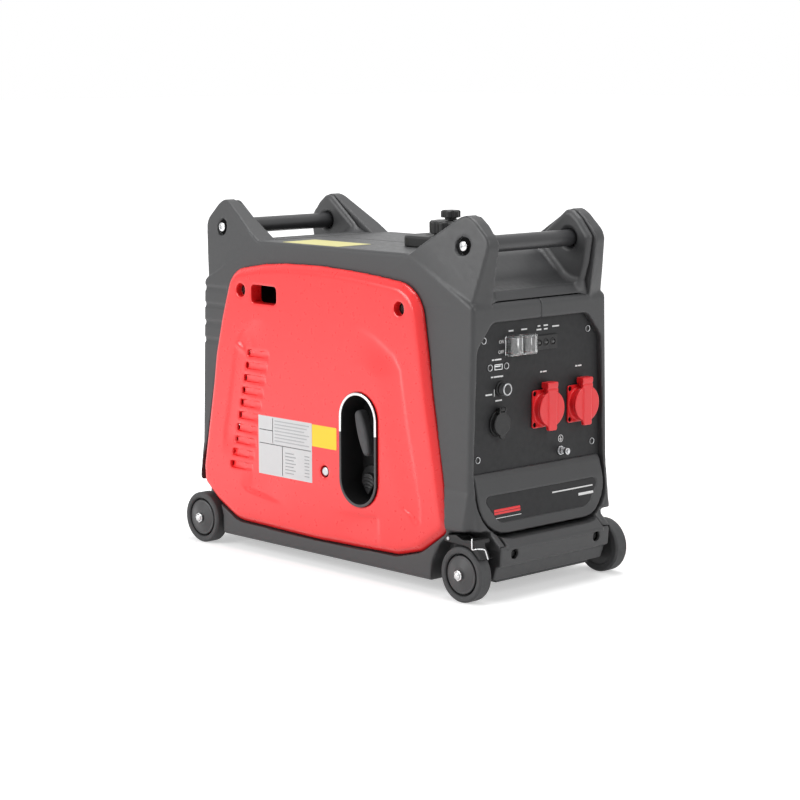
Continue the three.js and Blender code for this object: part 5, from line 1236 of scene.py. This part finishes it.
def dial(x, y, z):
    a = -y
    u, w = x - 62, z - 128
    far = np.hypot(u, w)
    disc = both(far - 20.6, both(a - 108.6, 100.2 - a, 0.8), 1.2)
    pointer = shape(
        u, w, [(0, -19.4, 1.6), (12.6, -2.5, 3), (9, 10.5, 9), (-9, 10.5, 9), (-12.6, -2.5, 3)]
    )
    knob = both(np.maximum(pointer, 104 - a), a - 116.4, 1.4)
    body = either(disc, knob, 1.2)
    for radius in (9.5, 14.0, 18.5, 23.0):
        ridge = np.maximum(np.abs(np.hypot(u, w + 17) - radius) - 0.8, pointer + 1.6)
        body = np.minimum(body, both(np.maximum(ridge, 114 - a), a - 117.2, 0.4))
    shaft = np.maximum(far - 4.9, np.maximum(a - 101, 92 - a))
    return np.minimum(body, shaft)


dial_piece = carve("choke_knob", (40, -118, 106), (84, -91, 150), 0.7, dial, black_plastic)
settle(dial_piece, "choke", "trim", "choke_dial")
print("starter recess filled")

# %% [markdown]
# ## The control panel
#
# The painted sheet keeps its measured shape. Its fittings are small and many, so each is carved
# with a fine grid: two rockers under a clear boot, lamps, a USB port, a knurled reset button, a 12
# volt socket with its cap, two round sockets with hinged lids, and the ground terminal.

# %% Fittings of the panel
PANEL_X = 260.0
ROCKERS = {"rocker_eco": (-47.4, 322.6), "rocker_engine": (-21.6, 322.3)}
BOOT_Z, LAMP_Z, LAMPS = 322.4, 321.6, (3.0, 16.0, 29.0)


def rocker(middle_y, middle_z):
    def field(x, y, z):
        tilt = math.radians(10)
        u = (x - PANEL_X) * math.cos(tilt) + (z - middle_z) * math.sin(tilt)
        w = -(x - PANEL_X) * math.sin(tilt) + (z - middle_z) * math.cos(tilt)
        profile = shape(
            u, w,
            [
                (-6.8, -5.5, 0), (1, -9.4, 0), (4.4, -9.4, 0.8), (2.6, 0, 8), (4.4, 9.4, 0.8),
                (1, 9.4, 0), (-6.8, 5.5, 0)
            ]
        )
        return both(profile, np.abs(y - middle_y) - 7.9, 0.7)

    return field


for name, (y0, z0) in ROCKERS.items():
    piece = carve(
        f"{name}_key", (251, y0 - 9, z0 - 13), (268, y0 + 9, z0 + 13), 0.5, rocker(y0, z0),
        black_plastic
    )
    settle(piece, f"{name}_body", "trim", name)


def boot(x, y, z):
    cells, wells = 1e3, 1e3
    for y0, z0 in ROCKERS.values():
        cells = np.minimum(
            cells, both(shape(y, z, inset_box(y0, BOOT_Z, 11.9, 13.1, 3)), x - PANEL_X - 11.8, 2.4)
        )
        wells = np.minimum(
            wells, both(shape(y, z, inset_box(y0, BOOT_Z, 9.6, 11.0, 2)), x - PANEL_X - 10.2, 1.6)
        )
    plate = np.maximum(shape(y, z, inset_box(-34.5, BOOT_Z, 17, 13.1, 1)), x - PANEL_X - 1.6)
    body = both(np.minimum(cells, plate), PANEL_X + 0.4 - x, 0.2)
    for dz in (-8.6, 8.6):
        bead = np.hypot(x - PANEL_X - 11.4, z - BOOT_Z - dz) - 0.8
        body = either(body, np.maximum(bead, np.minimum(np.abs(y + 47.4), np.abs(y + 21.6)) - 8), 0.6)
    return less(body, wells, 0.5)


settle(
    carve("clear_boot", (260, -61, 308), (273, -8, 337), 0.55, boot, boot_clear), "machine", "clear",
    "rocker_boot"
)


def lamp_block(x, y, z):
    body = both(
        shape(y, z, inset_box(16.1, LAMP_Z, 21.4, 9.4, 1.6)),
        both(x - PANEL_X - 2.2, PANEL_X + 0.3 - x, 0.3), 0.5
    )
    for y0 in LAMPS:
        ring = np.hypot(y - y0, z - LAMP_Z)
        body = either(body, both(np.abs(ring - 4.3) - 0.8, between(x, 261, 263.1), 0.3), 0.2)
        body = less(body, np.maximum(ring - 3.5, 261.2 - x), 0.3)
    return body


settle(
    carve("lamp_plate", (260, -6.5, 311.5), (263.4, 38.5, 331.7), 0.5, lamp_block, black_plastic),
    "machine", "trim", "indicator_block",
)
for number, y0 in enumerate(LAMPS):
    lens = turned(
        f"lamp_{number + 1}", "x", (PANEL_X, y0, LAMP_Z),
        [(0, 1.3, 0), (2.9, 1.3, 0), (2.9, 2.0, 0.4), (1.6, 3.4, 1), (0, 3.6, 0)],
        lamp_lens, 32,
    )
    settle(lens, "machine", "clear")


def usb(x, y, z):
    u, w = y + 72, z - 297
    body = both(shape(u, w, inset_box(0, 0, 7.4, 3.9, 0.8)), between(x, 246.2, 260.9), 0.3)
    body = less(body, np.maximum(shape(u, w, inset_box(0, 0, 6.3, 2.7, 0.3)), 249.2 - x), 0.2)
    tongue = np.maximum(np.maximum(np.abs(u) - 5.2, np.abs(w - 0.9) - 0.75), between(x, 249, 259.6))
    return np.minimum(body, tongue)


settle(
    carve("usb_shell", (246, -80, 292.6), (261.2, -64, 301.4), 0.42, usb, chrome), "machine", "trim",
    "usb_port"
)

# %% Sockets and caps
SOCKET_Z, LID_PIN = 235.0, (269.0, 265.5)
SOCKETS, SOCKET_SCREW = {1: 15.0, 2: 83.0}, 20.5


def round_socket(y0):
    def field(x, y, z):
        u, w = y - y0, z - SOCKET_Z
        far = np.hypot(u, w)
        body = both(shape(u, w, inset_box(0, 0, 24.9, 24.9, 3)), between(x, 260.4, 263), 0.7)
        body = either(body, both(far - 22.6, x - 271, 0.9), 1.2)
        post = np.maximum(np.maximum(np.abs(u) - 4, between(w, 18, 29.5)), x - 269)
        from_pin = np.hypot(x - LID_PIN[0], z - LID_PIN[1])
        knuckle = np.maximum(from_pin - 3.3, np.abs(u) - 4)
        body = np.minimum(body, np.minimum(post, knuckle))
        body = np.maximum(body, 260.4 - x)
        barrel = np.maximum(far - 21.8, between(x, 242.5, 262))
        body = np.minimum(body, barrel)
        body = less(body, np.maximum(far - 19.5, 253.5 - x), 0.6)
        body = less(body, from_pin - 2.1, 0.1)
        for side in (-9.5, 9.5):
            body = less(body, np.maximum(np.hypot(u - side, w) - 2.4, 245 - x), 0.2)
        for du in (-SOCKET_SCREW, SOCKET_SCREW):
            for dw in (-SOCKET_SCREW, SOCKET_SCREW):
                body = less(body, np.hypot(u - du, w - dw) - 3.4, 0.3)
        return body

    return field


def round_lid(y0):
    def field(x, y, z):
        u, w = y - y0, z - SOCKET_Z
        far = np.hypot(u, w)
        disc = both(far - 23.6, both(x - 275.3, 271.4 - x, 0.6), 1.2)
        tab = shape(
            u, w,
            [
                (-7.6, -28.6, 2.5), (7.6, -28.6, 2.5), (9.4, -18, 3), (9.4, 26, 0), (10.2, 35, 2.2),
                (-10.2, 35, 2.2), (-9.4, 26, 0), (-9.4, -18, 3)
            ]
        )
        band = both(tab, both(x - 276.4, 271.4 - x, 0.5), 0.9)
        hood = both(np.maximum(np.abs(u) - 9.4, between(w, 27.2, 35)), between(x, 263.2, 276.4), 1.4)
        body = np.minimum(either(disc, band, 0.5), hood)
        for side in (-9.2, 9.2):
            body = less(
                body, np.maximum(np.hypot(u - side, x - 276.4) - 1.5, np.abs(w + 1) - 23.2), 0.4
            )
        body = less(body, np.maximum(np.hypot(w - 26.6, x - 276.6) - 1.3, np.abs(u) - 9.6), 0.3)
        room = np.maximum(np.maximum(np.abs(u) - 4.6, between(w, 21.6, 34.3)), x - 273)
        body = less(body, room, 0.3)
        pin = np.maximum(np.hypot(x - LID_PIN[0], z - LID_PIN[1]) - 1.7, np.abs(u) - 8.6)
        return np.minimum(body, pin)

    return field


for number, y0 in SOCKETS.items():
    socket = carve(
        f"round_socket_{number}", (241, y0 - 26, 208), (272.5, y0 + 26, 270), 0.75, round_socket(y0),
        socket_red
    )
    settle(socket, "machine", "socket_red", f"mains_socket_{number}")
    lid = carve(
        f"socket_lid_{number}", (262, y0 - 25, 205), (277.5, y0 + 25, 271), 0.6, round_lid(y0),
        socket_red
    )
    settle(lid, f"mains_lid_{number}_body", "socket_red", f"mains_lid_{number}")

DC = (-72.0, 224.0)
DC_PIN = (267.5, 243.0)


def dc_socket(x, y, z):
    u, w = y - DC[0], z - DC[1]
    far = np.hypot(u, w)
    body = both(far - 16.9, between(x, 260.4, 263), 0.8)
    body = np.minimum(body, np.maximum(far - 13, between(x, 232.2, 266)))
    post = np.maximum(np.maximum(np.abs(u) - 3, between(w, 15.5, 20)), between(x, 260.4, 267.5))
    from_pin = np.hypot(x - DC_PIN[0], z - DC_PIN[1])
    knuckle = np.maximum(from_pin - 3, np.abs(u) - 3)
    body = np.minimum(body, np.minimum(post, knuckle))
    body = less(body, np.maximum(far - 10.5, 234.5 - x), 0.4)
    return less(body, from_pin - 1.9, 0.1)


def dc_cap(x, y, z):
    u, w = y - DC[0], z - DC[1]
    far = np.hypot(u, w)
    disc = both(far - 14.9, both(x - 269.2, 266.4 - x, 0.3), 1.3)
    tongue = np.maximum(np.hypot(u, w + 15.2) - 4.5, between(x, 266.4, 269.2))
    disc = either(disc, both(tongue, x - 269.2, 0.8), 1)
    strap = np.maximum(np.maximum(np.abs(u) - 6, between(w, 10, 22)), between(x, 266.4, 269.2))
    from_pin = np.hypot(x - DC_PIN[0], z - DC_PIN[1])
    cheeks = np.maximum(from_pin - 3, np.abs(np.abs(u) - 4.8) - 1.4)
    body = np.minimum(np.minimum(disc, strap), cheeks)
    body = less(
        body, np.maximum(np.maximum(np.abs(u) - 3.4, between(w, 15, 24)), between(x, 261, 280)), 0.3
    )
    pin = np.maximum(from_pin - 1.5, np.abs(u) - 4.8)
    return np.minimum(body, pin)


settle(
    carve("twelve_volt_socket", (232, -90, 206), (271.5, -54, 247), 0.75, dc_socket, black_plastic),
    "machine", "trim", "dc_socket"
)
settle(
    carve("twelve_volt_cap", (263.5, -88.5, 203), (271.5, -55.5, 247), 0.6, dc_cap, black_plastic),
    "dc_socket_cap_body", "rubber", "dc_socket_cap"
)
print("sockets and caps")

# %% [markdown]
# ## Small things that repeat
#
# Screws with their rims, near-black discs of painted shade in the sockets' screw holes, the knurl
# of the reset button and the slats of the outlet are many copies of one small shape. Geometry Nodes
# place them: the points of a mesh say where, an attribute says which way they look, and the copies
# are realized at the end so that they become ordinary faces.

# %% The scatter tree
def scatter_tree():
    """Copies of an object on every point, turned so that its Z looks along the attribute 'facing'."""
    tree, source, end = node_tree(
        "placed copies", [("Piece", "Object"), ("Size", "Float"), ("Finish", "Material")]
    )
    piece = tree.nodes.new("GeometryNodeObjectInfo")
    facing = tree.nodes.new("GeometryNodeInputNamedAttribute")
    facing.data_type = "FLOAT_VECTOR"
    facing.inputs["Name"].default_value = "facing"
    align = tree.nodes.new("FunctionNodeAlignRotationToVector")
    place_copies = tree.nodes.new("GeometryNodeInstanceOnPoints")
    tree.links.new(source.outputs["Piece"], piece.inputs["Object"])
    tree.links.new(facing.outputs[0], align.inputs["Vector"])
    tree.links.new(source.outputs["Geometry"], place_copies.inputs["Points"])
    tree.links.new(piece.outputs["Geometry"], place_copies.inputs["Instance"])
    tree.links.new(align.outputs["Rotation"], place_copies.inputs["Rotation"])
    tree.links.new(source.outputs["Size"], place_copies.inputs["Scale"])
    return finish_tree(tree, place_copies.outputs["Instances"], end, source)


placed_copies = scatter_tree()


def scatter(name, piece, places, facing, material, size=1.0):
    """Copies of piece at places (millimetres), all facing one way."""
    mesh = bpy.data.meshes.new(name)
    mesh.from_pydata([[c * MM for c in p] for p in places], [], [])
    attribute = mesh.attributes.new("facing", "FLOAT_VECTOR", "POINT")
    for value in attribute.data:
        value.vector = facing
    mesh.materials.append(material)
    obj = in_scene(name, mesh)
    return use_tree(obj, placed_copies, Piece=piece, Size=size, Finish=material)


def cross_screw(x, y, z):
    """A pan head, 8 across, with a cross recess; Z looks out."""
    far = np.hypot(x, y)
    dome = np.sqrt(x * x + y * y + (z + 5.0) ** 2) - 7.0
    body = both(both(far - 3.9, dome, 0.3), -z - 0.4, 0.1)
    cross = np.minimum(
        np.maximum(np.abs(x) - 0.55, np.abs(y) - 2.2), np.maximum(np.abs(y) - 0.55, np.abs(x) - 2.2)
    )
    return less(body, np.maximum(cross, 0.7 - z), 0.1)


screw_template = carve(
    "screw_template", (-4.4, -4.4, -0.8), (4.4, 4.4, 2.6), 0.3, cross_screw, zinc_steel
)
front_way, left_way = (1.0, 0.0, 0.0), (0.0, -1.0, 0.0)
panel_screw_places = [
    (260.1, y, z) for y,
    z in ((-98.6, 332.5), (98.6, 332.5), (-109, 180.2), (109, 180.2), (-87, 297), (-57, 297))
]
settle(
    scatter("panel_screws", screw_template, panel_screw_places, front_way, black_plastic, 0.9),
    "machine", "trim"
)
collar_template = turned(
    "collar", "z", (0, 0, 0), [(3.5, 0, 0), (4.4, 0, 0), (4.4, 1.1, 0.3), (3.5, 0.6, 0.2)], zinc_steel,
    32
)
settle(
    scatter("panel_screw_rims", collar_template, panel_screw_places, front_way, zinc_steel), "machine",
    "steel"
)
socket_screws = [
    (
        260.1, y0 + a * SOCKET_SCREW, SOCKET_Z + b * SOCKET_SCREW
    ) for y0 in SOCKETS.values() for a in (-1, 1) for b in (-1, 1)
]
# Near-black discs in the flanges' screw holes are painted shade where the holes are dark.
hole_shade_template = turned(
    "hole", "z", (0, 0, 0), [(0, 0, 0), (3.9, 0, 0), (3.9, 0.6, 0.2), (0, 0.6, 0)], deep_black, 24
)
settle(scatter("socket_holes", hole_shade_template, socket_screws, front_way, deep_black), "machine", "trim")
settle(
    scatter(
        "bumper_screws", screw_template, [(291.6, y, 60) for y in (-78.5, 78.5)], front_way,
        black_plastic, 1.2
    ),
    "machine", "trim",
)
for side, hand, way in (("left", -1, left_way), ("right", 1, (0.0, 1.0, 0.0))):
    places = [(u, hand * 129.2, v) for u, v in cover_screws]
    settle(
        scatter(f"cover_screws_{side}", screw_template, places, way, black_plastic, 1.3), "machine",
        "trim"
    )
    # Near-black discs laid on the red floors of the screw wells are painted shade of the wells.
    floors = [
        turned("floor", "y", (u, 0, v), rod(8.6, hand * 128.7, hand * 129.1), deep_black, 32)
        for u, v in cover_screws
    ]
    settle(gathered(f"well_floors_{side}", floors), "machine", "trim")
access_screw = turned(
    "access_screw", "y", (0, 0, ACCESS_Z),
    [(0, -130.5, 0), (6.1, -130.5, 0), (6.1, -137.0, 1.2), (4.4, -137.6, 0.6), (0, -137.6, 0)],
    zinc_steel, 40,
)
# The near-black disc round the access screw is painted shade at the bottom of its hole.
access_screw = gathered("access_screw", [
    access_screw,
    turned("well", "y", (0, 0, ACCESS_Z), rod(8.1, -130.3, -130.9), deep_black, 40),
])
settle(access_screw, "machine", "steel")

BUTTON = (-67.0, 268.5)
rib_template = carve(
    "rib_template", (-0.9, -0.9, -0.3), (0.9, 0.9, 9.2), 0.3,
    lambda x, y, z: both(both(np.abs(x) - 0.42, np.abs(y) - 0.5, 0.2), between(z, 0, 8.6), 0.2),
    zinc_steel,
)
button = turned(
    "button_core", "x", (PANEL_X, *BUTTON),
    [
        (0, -11.8, 0), (5.4, -11.8, 0), (5.4, 4.2, 0), (7.7, 4.2, 0.4), (7.7, 12.4, 0.8),
        (6.8, 13.4, 0.4), (6.2, 12.4, 0.3), (0, 12.4, 0)
    ],
    zinc_steel, 64,
)
around = [2 * math.pi * i / 36 for i in range(36)]
knurl = scatter(
    "knurl", rib_template,
    [(PANEL_X + 4.0, BUTTON[0] + 7.7 * math.cos(a), BUTTON[1] + 7.7 * math.sin(a)) for a in around],
    front_way, zinc_steel,
)
insert = turned(
    "button_face", "x", (PANEL_X, *BUTTON),
    [(0, 12.3, 0), (6.0, 12.3, 0), (6.0, 12.8, 0.2), (0, 13.2, 0)], black_plastic, 40
)
settle(
    gathered("breaker_knob", [button, knurl, insert]), "breaker_button_body", "steel", "breaker_button"
)
collar = turned(
    "breaker_collar", "x", (PANEL_X, *BUTTON),
    [(6.2, 0.3, 0), (10, 0.3, 0), (10, 1.8, 0.8), (8.8, 2.8, 0.5), (6.2, 2.8, 0.4)], black_plastic, 48,
)
settle(collar, "machine", "trim")

# %% Ground terminal
GROUND = (PANEL_X, 47.0, 175.0)
washer = turned(
    "washer", "x", GROUND, [(0, 0.4, 0), (6, 0.4, 0), (6, 1.7, 0.3), (0, 1.7, 0)], zinc_steel, 40
)
stud = turned(
    "stud", "x", GROUND, [(0, -8, 0), (2.45, -8, 0), (2.45, 15.4, 0.5), (0, 15.8, 0)], zinc_steel, 24
)
lock_nut = turned(
    "lock_nut", "x", GROUND, [(0, 1.6, 0), (5, 1.6, 0.2), (5, 5.9, 0.7), (0, 5.9, 0)], zinc_steel, 6,
    sharp=20
)
settle(gathered("ground_post", [washer, stud, lock_nut]), "machine", "steel", "ground_stud")
wing = turned(
    "wing", "x", GROUND, [(2.7, 9, 0), (4.5, 9, 0.5), (4.5, 13.9, 0.6), (2.7, 13.9, 0)], zinc_steel, 48
)
settle(wing, "ground_nut_body", "steel", "ground_nut")

# %% The outlet at the rear
slat_template = carve(
    "slat_template", (-77, -2.4, -1.5), (77, 2.4, 9), 0.8,
    lambda x, y,
    z: both(both(np.abs(y + 0.25 * (z - 4)) - 1.3, np.abs(x) - 76, 0.4), between(z, 0, 7.4), 0.6),
    black_plastic,
)


def outlet_frame(x, y, z):
    body = both(
        shape(y, z, inset_box(*REAR_OPENING[:2], 85.6, 89.6, 15.6)), between(x, -267.4, -257), 1
    )
    flange = np.maximum(
        shape(y, z, inset_box(*REAR_OPENING[:2], 89, 93, 18)), between(x, -259.8, -257.2)
    )
    body = np.minimum(body, flange)
    body = less(body, shape(y, z, inset_box(*REAR_OPENING[:2], 75, 79, 8)), 0.8)
    pipe = np.hypot(y - 46, z - 196)
    ring = both(both(pipe - 25, between(x, -267.4, -257), 0.8), 19 - pipe, 0.8)
    return np.minimum(body, ring)


frame_piece = carve("outlet_frame", (-268, -90, 146), (-256, 90, 334), 1.2, outlet_frame, black_plastic)
slats = scatter(
    "outlet_slats", slat_template, [(-258.4, 0, 168 + 16 * i) for i in range(10)], (-1.0, 0.0, 0.0),
    black_plastic,
)
# They should lie across the opening, but this span shows them upright, all in the same place.
slat_points = np.array([v.co for v in slats.data.vertices]) / MM
print("slats span", slat_points.min(0).round(1), slat_points.max(0).round(1))
settle(gathered("rear_outlet", [frame_piece, slats]), "machine", "trim", "rear_grille")
for template in (screw_template, collar_template, hole_shade_template, rib_template, slat_template):
    bpy.data.objects.remove(template)


# %% [markdown]
# ## Printing and labels
#
# The panel's legends are short bars of print here, with ON and OFF beside the rockers and the sign
# for earth over its terminal. The plates on the cover are blank, with ruled boxes: thin bodies with
# softened edges.

# %% Print on the panel
def flat_plate(name, corners, along, low, high, material, radius=0.0):
    """A thin plate over rounded corners (u, v), from low to high along an axis."""
    outline = rounded([(u, v, radius) for u, v in corners], 3)
    count = len(outline)
    axis_number = "xyz".index(along)
    others = [i for i in range(3) if i != axis_number]
    points = np.zeros((2 * count, 3))
    for level, t in enumerate((low, high)):
        points[level * count : (level + 1) * count, others] = outline
        points[level * count : (level + 1) * count, axis_number] = t
    faces = [tuple(range(count))[::-1], tuple(range(count, 2 * count))]
    faces += [(i, (i + 1) % count, count + (i + 1) % count, count + i) for i in range(count)]
    obj = add_mesh(name, points, faces, material)
    with edited(obj.data) as work:
        bmesh.ops.recalc_face_normals(work, faces=work.faces)
    return obj


PRINT_LOW, PRINT_HIGH = PANEL_X + 0.05, PANEL_X + 0.25
WORD_GAP = 1.2


def bar_print(y, z, width, height=1.9):
    """A legend is shown as a plain bar."""
    corners = rectangle(y - width / 2, y + width / 2, z - height / 2, z + height / 2)
    return flat_plate("bar", corners, "x", PRINT_LOW, PRINT_HIGH, white_print)


legends = []
for y, z, words in (
    (-48.5, 341.5, (9,)), (-24, 341.5, (11,)), (4, 343.5, (5,)), (4, 338.8, (9,)), (17, 343.5, (8,)),
    (17, 338.8, (7,)), (36, 341, (13,)), (-75, 306.5, (4, 12)), (-74, 284.5, (4, 17)),
    (-89, 262.5, (12,)), (-71, 253.5, (12,)), (13, 283, (4, 7)), (81, 284.5, (4, 7)),
):
    total = sum(words) + WORD_GAP * (len(words) - 1)
    left = y - total / 2
    for width in words:
        legends.append(bar_print(left + width / 2, z, width))
        left += width + WORD_GAP


def panel_text(text, y, z, height):
    curve = bpy.data.curves.new("text", "FONT")
    curve.body = text
    curve.size = height * MM * 1.4
    curve.align_x = "CENTER"
    curve.align_y = "CENTER"
    curve.extrude = 0.1 * MM
    holder = in_scene("text", curve)
    mesh = bpy.data.meshes.new_from_object(holder.evaluated_get(bpy.context.evaluated_depsgraph_get()))
    bpy.data.objects.remove(holder)
    mesh.transform(
        Matrix(((0, 0, 1, (PANEL_X + 0.15) * MM), (1, 0, 0, y * MM), (0, 1, 0, z * MM), (0, 0, 0, 1)))
    )
    mesh.materials.clear()
    mesh.materials.append(white_print)
    obj = in_scene("text", mesh)
    merge(obj, 0.001)
    return obj


legends += [panel_text("ON", -66, 328.5, 4.2), panel_text("OFF", -66.5, 315.5, 4.2)]
ring = turned(
    "earth_ring", "x", (PANEL_X, 47.5, 190.7),
    [(4.1, 0.05, 0), (4.8, 0.05, 0), (4.8, 0.25, 0), (4.1, 0.25, 0)], white_print, 40
)
legends.append(ring)
for width, z in ((5.6, 190.2), (3.8, 188.9), (2.0, 187.6)):
    legends.append(bar_print(47.5, z, width, 0.7))
legends.append(
    flat_plate("stem", rectangle(47.1, 47.9, 190.3, 193.4), "x", PRINT_LOW, PRINT_HIGH, white_print)
)
legends += [bar_print(-79, 264, 1.0, 9), bar_print(-79, 226, 0.8, 0.8)]
settle(gathered("panel_print", legends), "machine", "panel")

# %% Labels on the cover and the deck
LABEL_Y = -COVER_FACE
ROW_STEP = 4.6


def label(name, x0, x1, z0, z1, material, lift=0.25):
    return flat_plate(
        name, rectangle(x0, x1, z0, z1), "y", LABEL_Y - lift, LABEL_Y + 1.0, material, 0.8
    )


plate = [label("plate", -136, -24.5, 117, 199, silver_label)]
for x0, x1, z0, z1 in (
    (-134, -26.5, 160, 160.8), (-86, -85.3, 119, 160), (-106, -105.3, 162, 197),
    (-134, -106, 179, 179.7)
):
    plate.append(label("rule", x0, x1, z0, z1, grey_print, 0.4))
for row in range(7):
    down = ROW_STEP * row
    plate.append(label("row", -102, -30 - 5 * (row % 3), 193 - down, 194.6 - down, grey_print, 0.4))
for row in range(7):
    down = ROW_STEP * row
    plate.append(label("row", -80, -62 + 4 * (row % 2), 151 - down, 152.4 - down, grey_print, 0.4))
    plate.append(label("row", -40, -30, 151 - down, 152.4 - down, grey_print, 0.4))
settle(gathered("cover_plate", plate), "machine", "panel")
settle(label("cover_tag", -24, 25, 168, 198, yellow_label), "machine", "panel")
deck_sticker = flat_plate(
    "deck_sticker", rectangle(-108, 6, -116, -56), "z", DECK_Z + 0.02, DECK_Z + 0.3, deck_label, 1.5
)
settle(deck_sticker, "machine", "panel")

# %% [markdown]
# ## What shows through the openings
#
# The measured solids of the engine, the silencer and the other inner pieces are right as they are,
# so they keep their shape and only get a finish.

# %% Finishes of the measured solids
inner_finish = {
    "control_panel": panel_paint, "engine_block": cast_alloy, "alternator_housing": cast_alloy,
    "inverter_module": cast_alloy, "muffler": exhaust_steel, "fuel_tank": tank_plastic,
    "base_pan": tank_plastic,
    "crank_rotor": zinc_steel, "recoil_pulley": black_plastic, "starter_rope": braided_rope,
    "fuel_cap_seal": soft_rubber,
}
for node_name, material in inner_finish.items():
    for material_slot in nodes[node_name].material_slots:
        material_slot.material = material
    if not nodes[node_name].material_slots:
        nodes[node_name].data.materials.append(material)
left_plain = [name for name, obj in nodes.items() if not obj.hide_render and name not in inner_finish]
print("measured solids shown:", len(inner_finish), "still plain:", left_plain)

# %% [markdown]
# ## Light and floor
#
# Studio light for a catalogue is soft and comes from large panels. One stands in front of the side
# with the starter, one over the control panel's shoulder and one hangs above. The background is
# white only for the camera and in mirrors, so that it adds no light to the machine.

# %% Floor, background and lamps
FLOOR_NEAR, FLOOR_FAR = 0.45, 1.0  # glow
FADE_START, FADE_END = 0.34, 0.80  # metres from the middle


def seen_directly(tree):
    """1 for the rays that show the background: camera, mirrored and through clear plastic."""
    path = tree.nodes.new("ShaderNodeLightPath")
    total = path.outputs["Is Camera Ray"]
    for label in ("Is Glossy Ray", "Is Transmission Ray"):
        total = math_node(tree, "MAXIMUM", total, path.outputs[label])
    return total


def stage_floor():
    """A pale floor that shows the shadow near the machine and is plain white further off."""
    size = 30.0
    mesh = bpy.data.meshes.new("floor")
    mesh.from_pydata(
        [(-size, -size, 0), (size, -size, 0), (size, size, 0), (-size, size, 0)], [], [(0, 1, 2, 3)]
    )
    floor = in_scene("floor", mesh)
    material = bpy.data.materials.new("floor")
    material.use_nodes = True
    tree = material.node_tree
    shader = tree.nodes["Principled BSDF"]
    shader.inputs["Base Color"].default_value = (0.8, 0.8, 0.8, 1)
    shader.inputs["Roughness"].default_value = 0.85
    shader.inputs["Emission Color"].default_value = (1, 1, 1, 1)
    place = tree.nodes.new("ShaderNodeTexCoord")
    reach = tree.nodes.new("ShaderNodeVectorMath")
    reach.operation = "LENGTH"
    tree.links.new(place.outputs["Object"], reach.inputs[0])
    fade = tree.nodes.new("ShaderNodeMapRange")
    fade.interpolation_type = "SMOOTHSTEP"
    for label, number in (
        ("From Min", FADE_START), ("From Max", FADE_END), ("To Min", FLOOR_NEAR), ("To Max", FLOOR_FAR)
    ):
        fade.inputs[label].default_value = number
    tree.links.new(reach.outputs["Value"], fade.inputs["Value"])
    glow = math_node(tree, "MULTIPLY", fade.outputs["Result"], seen_directly(tree))
    tree.links.new(glow, shader.inputs["Emission Strength"])
    mesh.materials.append(material)


def world_light(strength):
    world = bpy.data.worlds.new("studio")
    scene.world = world
    world.use_nodes = True
    tree = world.node_tree
    background = tree.nodes["Background"]
    background.inputs["Color"].default_value = (1, 1, 1, 1)
    level = tree.nodes.new("ShaderNodeMapRange")
    level.inputs["To Min"].default_value = strength
    level.inputs["To Max"].default_value = 1
    tree.links.new(seen_directly(tree), level.inputs["Value"])
    tree.links.new(level.outputs["Result"], background.inputs["Strength"])


def softbox(name, place, target, width, height, watts):
    data = bpy.data.lights.new(name, "AREA")
    data.shape = "RECTANGLE"
    data.size, data.size_y = width, height
    data.energy = watts
    lamp = in_scene(name, data)
    lamp.location = place
    lamp.rotation_euler = (Vector(target) - Vector(place)).to_track_quat("-Z", "Y").to_euler()


stage_floor()
world_light(0.32)
softbox("key", (-0.9, -2.6, 1.5), (0, 0, 0.25), 1.8, 1.6, 56)
softbox("panel_side", (2.6, 0.4, 1.6), (0, 0, 0.25), 1.4, 1.4, 20)
softbox("above", (0.2, 0.2, 2.4), (0, 0, 0.3), 1.6, 1.2, 36)
print("stage is set")
